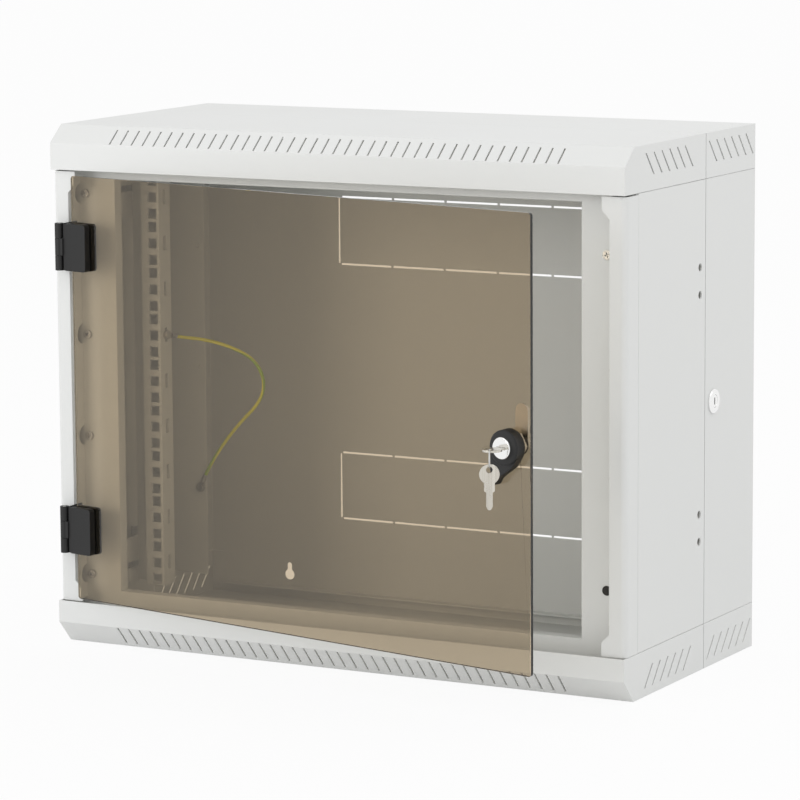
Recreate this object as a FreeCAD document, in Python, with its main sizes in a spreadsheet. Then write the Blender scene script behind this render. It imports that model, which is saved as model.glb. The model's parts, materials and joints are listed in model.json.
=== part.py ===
"""Wall mount network cabinet, 9 U, double section: a rear section on the wall, a front section
that swings on it, and a glass door on clamp hinges.

Frame: millimetres, +Z up, the wall side is +Y and the door side is -Y. The origin is on the wall
plane, at the centre of the back face.
"""
import FreeCAD, Part
import math
import os
import types

import Sketcher
from FreeCAD import Placement, Rotation, Vector

# Driving dimensions, in millimetres. Each one is a cell of the spreadsheet "Sizes".
DIMENSIONS = {
    # Shell
    "width": 600.0,
    "height": 500.0,
    "front_depth": 175.0,
    "rear_depth": 115.0,
    "seam": 1.0,
    "sheet_thick": 1.5,
    "panel_gap": 0.3,
    "top_drop": 41.8,
    "top_chamfer_high": 16.4,
    "bottom_drop": 42.5,
    "bottom_chamfer_high": 21.6,
    "chamfer_deep": 20.0,
    # Vent slots
    "front_slot_pitch": 12.0,
    "front_slot_wide": 1.8,
    "front_slot_side": 65.0,
    "front_slot_margin": 0.4,
    "front_slot_top_margin": 2.0,
    "side_slot_pitch": 16.8,
    "side_slot_wide": 2.4,
    "side_slot_run": 17.2,
    "side_slot_rise": 20.0,
    "side_slot_front": 42.8,
    "side_slot_inset": 7.6,
    "rear_slot_front": 5.5,
    # Columns beside the door
    "column_wide": 17.0,
    "column_setback": 4.0,
    "column_bend": 6.0,
    "column_top_gap": 1.5,
    "bite_radius": 9.3,
    "bite_end": 16.025,
    "bite_low": 49.0,
    "tab_reach": 7.5,
    "tab_high": 20.0,
    # Front frame and side panels
    "frame_setback": 27.5,
    "window_side": 55.5,
    "window_end": 51.5,
    "lip_deep": 12.0,
    "frame_overlap": 23.0,
    "side_flange": 32.0,
    "frame_screw_inset": 6.0,
    "rear_flange": 15.0,
    # Rails
    "rack_unit": 44.45,
    "rail_sheet": 2.0,
    "rail_setback": 74.5,
    "rail_hole_spacing": 465.1,
    "rail_hole": 9.5,
    "rail_hole_inset": 7.55,
    "rail_face_wide": 20.0,
    "rail_side_deep": 20.5,
    "rail_tail_deep": 25.0,
    "bracket_side": 34.0,
    "bracket_high": 43.5,
    "bracket_deep": 104.5,
    "bracket_foot": 22.0,
    "bracket_slot_front": 28.0,
    "bracket_slot_rear": 10.0,
    "rail_slot_wide": 4.4,
    "rail_slot_high": 14.0,
    "rack_hole_step": 15.875,
    "rack_margin": 6.0,
    # Rear section
    "rear_window_side": 64.0,
    "rear_lip": 12.0,
    "rear_hole_inset": 7.0,
    "rear_hole_high": 120.0,
    "corner_bend": 3.0,
    "floor_high": 11.0,
    "knockout_half_wide": 146.0,
    "knockout_low": 94.0,
    "knockout_high": 163.0,
    "knockout_slit": 2.0,
    "keyhole_side": 92.0,
    "keyhole_bottom": 25.0,
    "keyhole_top": 29.5,
    "keyhole_round": 11.0,
    "keyhole_slot": 5.5,
    "keyhole_travel": 9.5,
    # Hinge of the front section
    "swing_out": 4.5,
    "swing_barrel": 4.0,
    "swing_pin": 2.0,
    "leaf_thick": 2.0,
    "leaf_high": 50.0,
    "leaf_wide": 18.5,
    "leaf_end": 135.0,
    "leaf_hole_spacing": 25.4,
    "leaf_hole": 7.5,
    "leaf_hole_inset": 11.5,
    "swing_pin_head": 2.5,
    "leaf_bolt_head": 3.0,
    "leaf_nut_high": 5.0,
    "leaf_bolt_tail": 3.0,
    "running_gap": 0.3,
    "fit_gap": 0.05,
    # Glass door
    "glass_thick": 4.0,
    "glass_side_left": 23.0,
    "glass_side_right": 23.5,
    "glass_end": 46.7,
    "glass_gap": 0.3,
    "door_open": 12.0,
    "door_axis_side": 12.5,
    "door_axis_out": 6.0,
    "door_knuckle": 4.2,
    "door_pin": 1.75,
    "door_hinge_end": 114.0,
    "clamp_high": 45.0,
    "clamp_knuckle_high": 16.4,
    "clamp_side": 18.8,
    "clamp_wide": 28.2,
    "clamp_out": 7.0,
    "clamp_in": 10.5,
    "clamp_round": 3.0,
    "door_leaf_thick": 1.4,
    "door_leaf_deep": 25.0,
    "knuckle_web": 2.5,
    "rivet_in": 15.0,
    "rivet_step": 14.0,
    "rivet_radius": 1.6,
    "rivet_head": 2.5,
    "rivet_head_high": 1.0,
    "clamp_screw_side": 37.0,
    "clamp_screw_step": 12.0,
    "glass_round": 3.0,
    # Door lock
    "lock_side": 44.4,
    "lock_up": -1.1,
    "knob_radius": 16.0,
    "knob_face": 15.6,
    "knob_round": 1.2,
    "knob_deep": 10.8,
    "bush_radius": 9.4,
    "bush_rim": 13.0,
    "bush_rim_thick": 0.8,
    "bush_long": 14.0,
    "shaft_radius": 6.0,
    "tail_aside": 13.0,
    "tail_reach": 31.5,
    "tail_radius": 3.0,
    "tail_deep": 8.3,
    "core_radius": 9.7,
    "core_proud": 3.0,
    "core_deep": 8.0,
    "core_round": 0.6,
    "key_play": 0.1,
    "key_room": 0.5,
    "plug_core": 4.3,
    "cam_long": 36.0,
    "cam_wide": 14.0,
    "cam_thick": 2.5,
    "cam_room": 1.0,
    "plug_past_cam": 3.0,
    "lock_nut_high": 4.0,
    # Keys
    "key_thick": 2.0,
    "bow_radius": 8.9,
    "bow_gap": 2.9,
    "key_hole": 5.6,
    "key_hole_off": 3.9,
    "shoulder_wide": 9.4,
    "shoulder_end": 15.7,
    "shoulder_chamfer": 1.0,
    "blade_wide": 5.8,
    "key_tip": 1.0,
    "key_end": 31.4,
    "ring_radius": 7.9,
    "ring_wire": 0.5,
    "ring_heading": 28.3,
    # Side lock
    "side_lock_inset": 17.8,
    "side_lock_rim": 11.5,
    "side_lock_barrel": 9.4,
    "side_lock_barrel_long": 13.5,
    "side_lock_nut": 13.0,
    "side_lock_core": 6.0,
    "side_lock_proud": 2.2,
    "side_lock_rim_edge": 0.8,
    "side_core_proud": 1.9,
    "side_key_wide": 6.4,
    "side_key_high": 1.8,
    "side_key_deep": 6.0,
    "side_lock_cam_in": 23.0,
    "side_cam_long": 34.0,
    "keeper_low": 8.0,
    "keeper_high": 30.0,
    "keeper_foot": 12.0,
    "keeper_hook": 15.0,
    "keeper_gap": 1.7,
    "keeper_window_in": 31.0,
    "keeper_window_out": 13.0,
    "keeper_window_room": 2.0,
    # Fasteners and the earth wire
    "screw_head": 8.5,
    "screw_head_high": 2.6,
    "screw_shank": 5.0,
    "rail_screw_head": 12.0,
    "rail_screw_shank": 6.0,
    "screw_tail": 3.0,
    "plug_radius": 4.5,
    "plug_high": 1.2,
    "rail_nut_high": 5.0,
    "rail_screw_head_high": 3.3,
    "spot_end": 98.0,
    "spot_side": 30.0,
    "wire_radius": 1.7,
    "terminal_radius": 5.0,
    "terminal_thick": 1.0,
    "terminal_long": 15.0,
    "terminal_neck": 2.0,
    "terminal_barrel": 8.0,
    "crimp_wall": 0.4,
    "earth_shank": 2.0,
    "earth_head": 4.0,
    "earth_head_high": 2.6,
    "earth_nut": 3.6,
    "earth_nut_high": 2.4,
}


class Size:
    """A length with its value in millimetres and the spreadsheet expression that drives it."""

    def __init__(self, value, text):
        self.value = float(value)
        self.text = text

    def __add__(self, other):
        other = as_size(other)
        return Size(self.value + other.value, "(%s + %s)" % (self.text, other.text))

    def __sub__(self, other):
        other = as_size(other)
        return Size(self.value - other.value, "(%s - %s)" % (self.text, other.text))

    def __mul__(self, other):
        other = as_size(other)
        return Size(self.value * other.value, "(%s * %s)" % (self.text, other.text))

    def __truediv__(self, other):
        other = as_size(other)
        return Size(self.value / other.value, "(%s / %s)" % (self.text, other.text))

    def __neg__(self):
        return Size(-self.value, "(-1 * %s)" % self.text)

    def __radd__(self, other):
        return as_size(other) + self

    def __rsub__(self, other):
        return as_size(other) - self

    def __rmul__(self, other):
        return as_size(other) * self


def as_size(number):
    """Turns a plain number into a Size, and leaves a Size as it is."""
    if isinstance(number, Size):
        return number
    return Size(number, "(%.10g)" % number)


def root(size):
    """Square root of a Size."""
    return Size(math.sqrt(size.value), "sqrt(%s)" % size.text)


doc = FreeCAD.newDocument("NetworkCabinet")
sheet = doc.addObject("Spreadsheet::Sheet", "Sizes")
for row, (alias, number) in enumerate(DIMENSIONS.items(), start=1):
    sheet.set("A%d" % row, alias)
    sheet.set("B%d" % row, "%.10g" % number)
    sheet.setAlias("B%d" % row, alias)
doc.recompute()
s = types.SimpleNamespace(**{alias: Size(sheet.get(alias), "Sizes." + alias) for alias in DIMENSIONS})

# Places that many pieces share
HALF_W = s.width / 2
HALF_H = s.height / 2
T = s.sheet_thick
Y_WALL = as_size(0)
Y_REAR = -s.rear_depth
Y_SEAM = Y_REAR - s.seam
Y_FRONT = -(s.rear_depth + s.front_depth)
Z_TOP_LINE = HALF_H - s.top_drop
Z_BOTTOM_LINE = -(HALF_H - s.bottom_drop)
Y_FRAME = Y_FRONT + s.frame_setback
Y_COLUMN = Y_FRONT + s.column_setback
X_COLUMN = HALF_W - s.column_wide
RACK_UNITS = int((Z_TOP_LINE - Z_BOTTOM_LINE - s.rack_margin * 2).value / s.rack_unit.value)
RACK_HALF = s.rack_unit * (RACK_UNITS / 2)

# Places that follow the shell's width, its height or the rack
s.window_half_wide = HALF_W - s.window_side
s.window_half_high = HALF_H - s.window_end
s.bite_high = RACK_HALF - s.bite_end
s.rail_inner_half = s.rail_hole_spacing / 2 - s.rail_hole_inset
s.bracket_inner_half = HALF_W - s.bracket_side
s.rear_window_half = HALF_W - s.rear_window_side
s.keyhole_half_pitch = HALF_W - s.keyhole_side
s.leaf_at = HALF_H - s.leaf_end
s.glass_left = s.glass_side_left - HALF_W
s.glass_right = HALF_W - s.glass_side_right
s.glass_half_high = HALF_H - s.glass_end
s.door_axis_left = HALF_W - s.door_axis_side
s.door_hinge_at = HALF_H - s.door_hinge_end
s.clamp_left = HALF_W - s.clamp_side
s.clamp_right = s.clamp_left - s.clamp_wide
s.clamp_screw_at = HALF_W - s.clamp_screw_side
s.lock_right = HALF_W - s.lock_side
s.spot_high = HALF_H - s.spot_end
s.spot_right = HALF_W - s.spot_side

PARTS = []


# ---------------------------------------------------------------------------------------------
# Helpers for bodies, sketches and features
# ---------------------------------------------------------------------------------------------
def new_body(name):
    """Starts the PartDesign body of one sub-part."""
    body = doc.addObject("PartDesign::Body", name)
    body.Label = name
    PARTS.append(body)
    return body


def new_sketch(body, role, offset):
    """Makes a sketch on one of the body's origin planes, moved along that plane's normal."""
    sketch = body.newObject("Sketcher::SketchObject", body.Label + "_sketch")
    plane = [feature for feature in body.Origin.OriginFeatures if feature.Role == role][0]
    sketch.AttachmentSupport = [(plane, "")]
    sketch.MapMode = "FlatFace"
    sketch.setExpression("AttachmentOffset.Base.z", as_size(offset).text)
    return sketch


def fix_point(sketch, index, end, x, y):
    """Sets a sketch point by its two distances from the sketch's origin."""
    for kind, size in (("DistanceX", as_size(x)), ("DistanceY", as_size(y))):
        number = sketch.addConstraint(Sketcher.Constraint(kind, -1, 1, index, end, size.value))
        sketch.setExpression("Constraints[%d]" % number, size.text)


def polygon(sketch, points):
    """Closed outline through the points, each one a pair of lengths."""
    corners = [Vector(as_size(x).value, as_size(y).value, 0) for x, y in points]
    first = sketch.GeometryCount
    count = len(points)
    for i in range(count):
        sketch.addGeometry(Part.LineSegment(corners[i], corners[(i + 1) % count]), False)
    for i in range(count):
        sketch.addConstraint(Sketcher.Constraint("Coincident", first + i, 2, first + (i + 1) % count, 1))
    for i, (x, y) in enumerate(points):
        fix_point(sketch, first + i, 1, x, y)


def rectangle(sketch, x_low, x_high, y_low, y_high):
    """Rectangle between two pairs of lengths."""
    polygon(sketch, [(x_low, y_low), (x_high, y_low), (x_high, y_high), (x_low, y_high)])


def circle(sketch, x, y, radius):
    """Circle with a bound centre and radius."""
    x, y, radius = as_size(x), as_size(y), as_size(radius)
    shape = Part.Circle(Vector(x.value, y.value, 0), Vector(0, 0, 1), radius.value)
    index = sketch.addGeometry(shape, False)
    fix_point(sketch, index, 3, x, y)
    number = sketch.addConstraint(Sketcher.Constraint("Radius", index, radius.value))
    sketch.setExpression("Constraints[%d]" % number, radius.text)


def span(role, low, high):
    """Sketch offset for a pad, and for a pocket, that fills low to high along the world axis."""
    if role == "XZ_Plane":
        return -as_size(high), -as_size(low)
    return as_size(low), as_size(high)


def pad(body, role, low, high, draw):
    """Adds material between low and high, square to the plane, from the drawn outline."""
    sketch = new_sketch(body, role, span(role, low, high)[0])
    draw(sketch)
    feature = body.newObject("PartDesign::Pad", body.Label + "_pad")
    feature.Profile = sketch
    feature.setExpression("Length", (as_size(high) - as_size(low)).text)
    doc.recompute()
    return feature


def pocket(body, role, low, high, draw):
    """Takes material away between low and high, square to the plane, within the drawn outline."""
    volume = body.Shape.Volume
    sketch = new_sketch(body, role, span(role, low, high)[1])
    draw(sketch)
    feature = body.newObject("PartDesign::Pocket", body.Label + "_pocket")
    feature.Profile = sketch
    feature.setExpression("Length", (as_size(high) - as_size(low)).text)
    doc.recompute()
    if not body.Shape.Volume < volume:
        raise RuntimeError(body.Label + ": a pocket cuts nothing")
    return feature


def row_of(body, feature, axis, extent, count):
    """Repeats a feature along its sketch's horizontal or vertical axis."""
    pattern = body.newObject("PartDesign::LinearPattern", body.Label + "_row")
    pattern.Originals = [feature]
    pattern.Direction = (feature.Profile[0], [axis])
    pattern.setExpression("Length", as_size(extent).text)
    pattern.Occurrences = count
    body.Tip = pattern
    doc.recompute()
    return pattern


def round_edges(body, radius, wanted):
    """Fillets every straight edge of the body whose middle and direction the test accepts."""
    names = []
    for number, edge in enumerate(body.Shape.Edges, start=1):
        if edge.Curve.TypeId != "Part::GeomLine":
            continue
        middle = edge.valueAt((edge.FirstParameter + edge.LastParameter) / 2)
        if wanted(middle, edge.tangentAt(edge.FirstParameter)):
            names.append("Edge%d" % number)
    if not names:
        raise RuntimeError(body.Label + ": no edge to round")
    base = body.Tip
    feature = body.newObject("PartDesign::Fillet", body.Label + "_fillet")
    feature.Base = (base, names)
    feature.setExpression("Radius", as_size(radius).text)
    doc.recompute()
    return feature


def upright_at(x, y):
    """Test for an upright edge at a plan position."""
    def test(middle, direction):
        near = abs(middle.x - x.value) < 0.02 and abs(middle.y - y.value) < 0.02
        return near and abs(direction.z) > 0.99
    return test


def ordered(a, b):
    """Puts two lengths in rising order."""
    a, b = as_size(a), as_size(b)
    return (a, b) if a.value < b.value else (b, a)


# ---------------------------------------------------------------------------------------------
# Hoods: folded caps with a sloped front, vent slots on the slope and slanted slots in the sides
# ---------------------------------------------------------------------------------------------
def side_slots(body, up, y_first, z_line):
    """Cuts six slanted slots through both sides of a hood."""
    z_far = z_line - up * s.side_slot_rise
    y_last = y_first + s.side_slot_run
    corners = [
        (y_first, z_line),
        (y_first + s.side_slot_wide, z_line),
        (y_last + s.side_slot_wide, z_far),
        (y_last, z_far),
    ]
    slot = pocket(body, "YZ_Plane", -HALF_W, HALF_W, lambda sketch: polygon(sketch, corners))
    row_of(body, slot, "H_Axis", s.side_slot_pitch * 5, 6)


def front_hood(name, up, drop, chamfer_high):
    """Front section's top (up = 1) or bottom (up = -1) cap, open to the inside and to the seam."""
    body = new_body(name)
    z_line = up * (HALF_H - drop)
    z_edge = up * (HALF_H - chamfer_high)
    z_end = up * HALF_H
    y_top = Y_FRONT + s.chamfer_deep
    outer = [(Y_FRONT, z_line), (Y_FRONT, z_edge), (y_top, z_end), (Y_SEAM, z_end), (Y_SEAM, z_line)]
    pad(body, "YZ_Plane", -HALF_W, HALF_W, lambda sketch: polygon(sketch, outer))

    slope = root(s.chamfer_deep * s.chamfer_deep + chamfer_high * chamfer_high)
    z_bend = z_edge - up * T * (slope - chamfer_high) / s.chamfer_deep
    y_bend = y_top + T * (slope - s.chamfer_deep) / chamfer_high
    z_open = z_line - up * T
    y_open = Y_SEAM + T
    inner = [
        (Y_FRONT + T, z_open),
        (Y_FRONT + T, z_bend),
        (y_bend, z_end - up * T),
        (y_open, z_end - up * T),
        (y_open, z_open),
    ]
    pocket(body, "YZ_Plane", T - HALF_W, HALF_W - T, lambda sketch: polygon(sketch, inner))

    slots = int(((HALF_W - s.front_slot_side) * 2).value / s.front_slot_pitch.value) + 1
    half_row = s.front_slot_pitch * ((slots - 1) / 2)
    x_low, x_high = -half_row - s.front_slot_wide / 2, s.front_slot_wide / 2 - half_row
    z_low, z_high = ordered(z_edge + up * s.front_slot_margin, z_end - up * (T + s.front_slot_top_margin))
    slot = pocket(
        body, "XZ_Plane", Y_FRONT, Y_FRONT + s.chamfer_deep,
        lambda sketch: rectangle(sketch, x_low, x_high, z_low, z_high),
    )
    row_of(body, slot, "H_Axis", half_row * 2, slots)
    side_slots(body, up, Y_FRONT + s.side_slot_front, z_end - up * s.side_slot_inset)
    return body


def rear_hood(name, up, drop):
    """Rear section's top or bottom cap, with a back skirt that meets the back panel's fold."""
    body = new_body(name)
    z_line = up * (HALF_H - drop)
    z_end = up * HALF_H
    z_fold = up * (HALF_H - s.floor_high)
    z_low, z_high = ordered(z_line, z_end)
    pad(body, "XY_Plane", z_low, z_high, lambda sketch: rectangle(sketch, -HALF_W, HALF_W, Y_REAR, Y_WALL))
    for side in (-1, 1):
        round_edges(body, s.corner_bend, upright_at(side * HALF_W, Y_WALL))

    z_low, z_high = ordered(z_line - up * T, z_end - up * T)
    pocket(
        body, "XY_Plane", z_low, z_high,
        lambda sketch: rectangle(sketch, T - HALF_W, HALF_W - T, Y_REAR - T, Y_WALL - T),
    )
    z_low, z_high = ordered(z_line - up * T, z_fold)
    x_window = HALF_W - s.rear_flange
    pocket(
        body, "XZ_Plane", Y_WALL - T * 2, Y_WALL,
        lambda sketch: rectangle(sketch, -x_window, x_window, z_low, z_high),
    )
    side_slots(body, up, Y_REAR + s.rear_slot_front, z_end - up * s.side_slot_inset)
    return body


# ---------------------------------------------------------------------------------------------
# Front section: columns, frame, side panels, rails and their brackets
# ---------------------------------------------------------------------------------------------
COLUMN_TOP = Z_TOP_LINE - s.column_top_gap
COLUMN_BOTTOM = Z_BOTTOM_LINE + s.panel_gap


def column(name, side):
    """Rolled channel beside the door, with screw access bites, door rests and, on the right, the cam slot."""
    body = new_body(name)
    x_out, x_in = side * HALF_W, side * X_COLUMN
    x_out_wall, x_in_wall = side * (HALF_W - T), side * (X_COLUMN + T)
    y_side = Y_FRAME + T - s.panel_gap
    section = [
        (x_in, Y_COLUMN), (x_out, Y_COLUMN), (x_out, y_side), (x_out_wall, y_side),
        (x_out_wall, Y_COLUMN + T), (x_in_wall, Y_COLUMN + T), (x_in_wall, Y_FRAME), (x_in, Y_FRAME),
    ]
    pad(body, "XY_Plane", COLUMN_BOTTOM, COLUMN_TOP, lambda sketch: polygon(sketch, section))
    round_edges(body, s.column_bend, upright_at(x_out, Y_COLUMN))
    round_edges(body, s.column_bend - T, upright_at(x_out_wall, Y_COLUMN + T))

    x_low, x_high = ordered(x_in - side * T, x_in + side * T * 2)
    for z in (s.bite_high, s.bite_low, -s.bite_low, -s.bite_high):
        pocket(body, "YZ_Plane", x_low, x_high, lambda sketch: circle(sketch, Y_FRAME, z, s.bite_radius))

    x_tab = side * (X_COLUMN - s.tab_reach)
    for end, out in ((COLUMN_TOP, 1), (COLUMN_BOTTOM, -1)):
        tab = [
            (x_in_wall, end), (x_tab, end), (x_tab, end - out * (s.tab_high - s.tab_reach)),
            (x_in, end - out * s.tab_high), (x_in_wall, end - out * s.tab_high),
        ]
        pad(body, "XZ_Plane", Y_COLUMN, Y_COLUMN + T, lambda sketch: polygon(sketch, tab))

    if side < 0:
        for z in RIVET_HEIGHTS:
            pocket(body, "YZ_Plane", x_low, x_high, lambda sketch: circle(sketch, Y_RIVET, z, s.rivet_radius))
    if side > 0:
        reach = X_COLUMN - s.lock_right
        sweep = root(s.cam_long * s.cam_long + s.cam_wide * s.cam_wide / 4 - reach * reach)
        y_cam = Y_FRONT + CAM_BACK - s.cam_thick
        pocket(
            body, "YZ_Plane", x_low, x_high,
            lambda sketch: rectangle(
                sketch, y_cam - s.cam_room, y_cam + s.cam_thick + s.cam_room,
                s.lock_up - s.cam_wide / 2 - s.cam_room, s.lock_up + sweep + s.cam_room,
            ),
        )
    return body


def front_frame():
    """Plate behind the columns, with the equipment window and its folded lips."""
    body = new_body("front_frame")
    x_out = HALF_W - T - s.panel_gap
    z_high, z_low = Z_TOP_LINE + s.frame_overlap, Z_BOTTOM_LINE - s.frame_overlap
    pad(
        body, "XZ_Plane", Y_FRAME, Y_FRAME + T,
        lambda sketch: rectangle(sketch, -x_out, x_out, z_low, z_high),
    )
    x_lip, z_lip = s.window_half_wide + T, s.window_half_high + T
    pad(
        body, "XZ_Plane", Y_FRAME + T, Y_FRAME + s.lip_deep,
        lambda sketch: rectangle(sketch, -x_lip, x_lip, -z_lip, z_lip),
    )
    x_window, z_window = s.window_half_wide, s.window_half_high
    pocket(
        body, "XZ_Plane", Y_FRAME, Y_FRAME + s.lip_deep,
        lambda sketch: rectangle(sketch, -x_window, x_window, -z_window, z_window),
    )
    for side in (-1, 1):
        for z in FRAME_SCREW_HEIGHTS:
            pocket(
                body, "XZ_Plane", Y_FRAME, Y_FRAME + T,
                lambda sketch: circle(sketch, side * X_FRAME_SCREW, z, s.screw_shank / 2),
            )
    for z in (s.spot_high, -s.spot_high):
        pocket(
            body, "XZ_Plane", Y_FRAME, Y_FRAME + T,
            lambda sketch: circle(sketch, s.spot_right, z, s.screw_shank / 2),
        )
    return body


def side_panel(name, side):
    """Side of the front section: a folded panel with the two hinge hole pairs."""
    body = new_body(name)
    x_out, x_wall = side * HALF_W, side * (HALF_W - T)
    y_start = Y_FRAME + T
    section = [
        (x_out, y_start), (x_out, Y_SEAM), (side * (HALF_W - s.rear_flange), Y_SEAM),
        (side * (HALF_W - s.rear_flange), Y_SEAM - T), (x_wall, Y_SEAM - T), (x_wall, y_start + T),
        (side * (HALF_W - s.side_flange), y_start + T), (side * (HALF_W - s.side_flange), y_start),
    ]
    z_high, z_low = Z_TOP_LINE - s.panel_gap, Z_BOTTOM_LINE + s.panel_gap
    pad(body, "XY_Plane", z_low, z_high, lambda sketch: polygon(sketch, section))
    x_low, x_high = ordered(x_out, side * (HALF_W - T))
    for z in LEAF_HOLE_HEIGHTS:
        pocket(
            body, "YZ_Plane", x_low, x_high,
            lambda sketch: circle(sketch, Y_SEAM - s.leaf_hole_inset, z, s.leaf_hole / 2),
        )
    for z in FRAME_SCREW_HEIGHTS:
        pocket(
            body, "XZ_Plane", y_start, y_start + T,
            lambda sketch: circle(sketch, side * X_FRAME_SCREW, z, s.screw_shank / 2),
        )
    return body


def rail(name, side):
    """19-inch rail with three square holes in each rack unit and a folded side and tail."""
    body = new_body(name)
    t = s.rail_sheet
    y_face = Y_FRONT + s.rail_setback
    y_fold = y_face + s.rail_side_deep
    x_in = s.rail_inner_half
    x_out = x_in + s.rail_face_wide
    x_tail = s.bracket_inner_half
    y_end = y_fold + s.rail_tail_deep
    section = [
        (x_out, y_face), (x_in, y_face), (x_in, y_fold), (x_tail - t, y_fold), (x_tail - t, y_end),
        (x_tail, y_end), (x_tail, y_fold - t), (x_in + t, y_fold - t), (x_in + t, y_face + t),
        (x_out, y_face + t),
    ]
    section = [(side * x, y) for x, y in section]
    pad(body, "XY_Plane", -RACK_HALF, RACK_HALF, lambda sketch: polygon(sketch, section))

    half = s.rail_hole / 2
    x_hole = side * s.rail_hole_spacing / 2
    z_middle = -s.rack_unit * ((RACK_UNITS - 1) / 2)

    def three_squares(sketch):
        for offset in (-s.rack_hole_step, as_size(0), s.rack_hole_step):
            z = z_middle + offset
            rectangle(sketch, x_hole - half, x_hole + half, z - half, z + half)

    holes = pocket(body, "XZ_Plane", y_face, y_face + t, three_squares)
    row_of(body, holes, "V_Axis", s.rack_unit * (RACK_UNITS - 1), RACK_UNITS)

    x_low, x_high = ordered(side * x_in, side * (x_in + t))
    y_slot = y_face + s.rail_side_deep / 2
    y_low, y_high = y_slot - s.rail_slot_wide / 2, y_slot + s.rail_slot_wide / 2
    z_low, z_high = z_middle - s.rail_slot_high / 2, z_middle + s.rail_slot_high / 2
    slot = pocket(
        body, "YZ_Plane", x_low, x_high,
        lambda sketch: rectangle(sketch, y_low, y_high, z_low, z_high),
    )
    row_of(body, slot, "V_Axis", s.rack_unit * (RACK_UNITS - 1), RACK_UNITS)

    x_low, x_high = ordered(side * (x_tail - t), side * x_tail)
    for z in (s.bite_high, -s.bite_high):
        pocket(
            body, "YZ_Plane", x_low, x_high,
            lambda sketch: circle(sketch, Y_RAIL_SCREW, z, s.rail_screw_shank / 2),
        )
    return body


def rail_bracket(name, side, up):
    """Bracket that carries one end of a rail; its long slot sets the rail's depth."""
    body = new_body(name)
    t = s.rail_sheet
    y_start = Y_FRAME + T * 2
    y_end = y_start + s.bracket_deep
    x_in = s.bracket_inner_half
    section = [
        (x_in, y_start), (x_in + s.bracket_foot, y_start), (x_in + s.bracket_foot, y_start + t),
        (x_in + t, y_start + t),
        (x_in + t, y_end - t), (HALF_W - T, y_end - t), (HALF_W - T, y_end), (x_in, y_end),
    ]
    section = [(side * x, y) for x, y in section]
    z_low, z_high = ordered(up * (RACK_HALF - s.bracket_high), up * RACK_HALF)
    pad(body, "XY_Plane", z_low, z_high, lambda sketch: polygon(sketch, section))
    x_low, x_high = ordered(side * x_in, side * (x_in + t))
    z = up * s.bite_high
    half = s.rail_screw_shank / 2
    y_slot, y_slot_end = y_start + s.bracket_slot_front, y_end - s.bracket_slot_rear
    pocket(
        body, "YZ_Plane", x_low, x_high,
        lambda sketch: rectangle(sketch, y_slot, y_slot_end, z - half, z + half),
    )
    pocket(
        body, "XZ_Plane", y_start, y_start + t,
        lambda sketch: circle(sketch, side * X_FRAME_SCREW, z, s.screw_shank / 2),
    )
    return body


# Places of holes and screws
Y_RIVET = Y_FRONT + s.rivet_in
RIVET_HEIGHTS = [up * s.door_hinge_at + side * s.rivet_step for up in (1, -1) for side in (1, -1)]
CAM_BACK = s.column_setback + s.bush_long
X_FRAME_SCREW = X_COLUMN - s.frame_screw_inset
FRAME_SCREW_HEIGHTS = (s.bite_high, s.bite_low, -s.bite_low, -s.bite_high)
LEAF_HOLE_HEIGHTS = [
    up * s.leaf_at + side * s.leaf_hole_spacing / 2 for up in (1, -1) for side in (1, -1)
]
Y_RAIL_SCREW = Y_FRONT + s.rail_setback + s.rail_side_deep + s.rail_tail_deep / 2


# ---------------------------------------------------------------------------------------------
# Rear section: back panel, side walls
# ---------------------------------------------------------------------------------------------
def back_panel():
    """Wall plate with folded ends, two slit knock-out windows for cables and four keyholes."""
    body = new_body("back_panel")
    x_out = HALF_W - s.rear_flange
    z_out = HALF_H - s.floor_high
    pad(body, "XZ_Plane", Y_WALL - T, Y_WALL, lambda sketch: rectangle(sketch, -x_out, x_out, -z_out, z_out))
    for up in (-1, 1):
        z_low, z_high = ordered(up * (z_out - T), up * z_out)
        pad(
            body, "XZ_Plane", Y_WALL - s.rear_lip, Y_WALL - T,
            lambda sketch: rectangle(sketch, -x_out, x_out, z_low, z_high),
        )

    slit = s.knockout_slit
    pitch = s.knockout_half_wide * 2 / 5
    x_first = -s.knockout_half_wide
    x_low, x_high = x_first + slit / 2, x_first + pitch - slit / 2
    for z in (s.knockout_low, s.knockout_high - slit, -s.knockout_high, -s.knockout_low - slit):
        cut = pocket(
            body, "XZ_Plane", Y_WALL - T, Y_WALL,
            lambda sketch: rectangle(sketch, x_low, x_high, z, z + slit),
        )
        row_of(body, cut, "H_Axis", pitch * 4, 5)
    for side in (-1, 1):
        for up in (-1, 1):
            x_low, x_high = ordered(side * s.knockout_half_wide, side * (s.knockout_half_wide + slit))
            z_low, z_high = ordered(up * (s.knockout_low + slit), up * (s.knockout_high - slit))
            pocket(
                body, "XZ_Plane", Y_WALL - T, Y_WALL,
                lambda sketch: rectangle(sketch, x_low, x_high, z_low, z_high),
            )

    for side in (-1, 1):
        for z in (s.keyhole_bottom - HALF_H, HALF_H - s.keyhole_top):
            x = side * s.keyhole_half_pitch
            half = s.keyhole_slot / 2
            pocket(
                body, "XZ_Plane", Y_WALL - T, Y_WALL,
                lambda sketch: circle(sketch, x, z, s.keyhole_round / 2),
            )
            pocket(
                body, "XZ_Plane", Y_WALL - T, Y_WALL,
                lambda sketch: rectangle(sketch, x - half, x + half, z, z + s.keyhole_travel),
            )
            pocket(
                body, "XZ_Plane", Y_WALL - T, Y_WALL,
                lambda sketch: circle(sketch, x, z + s.keyhole_travel, half),
            )
    return body


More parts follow.
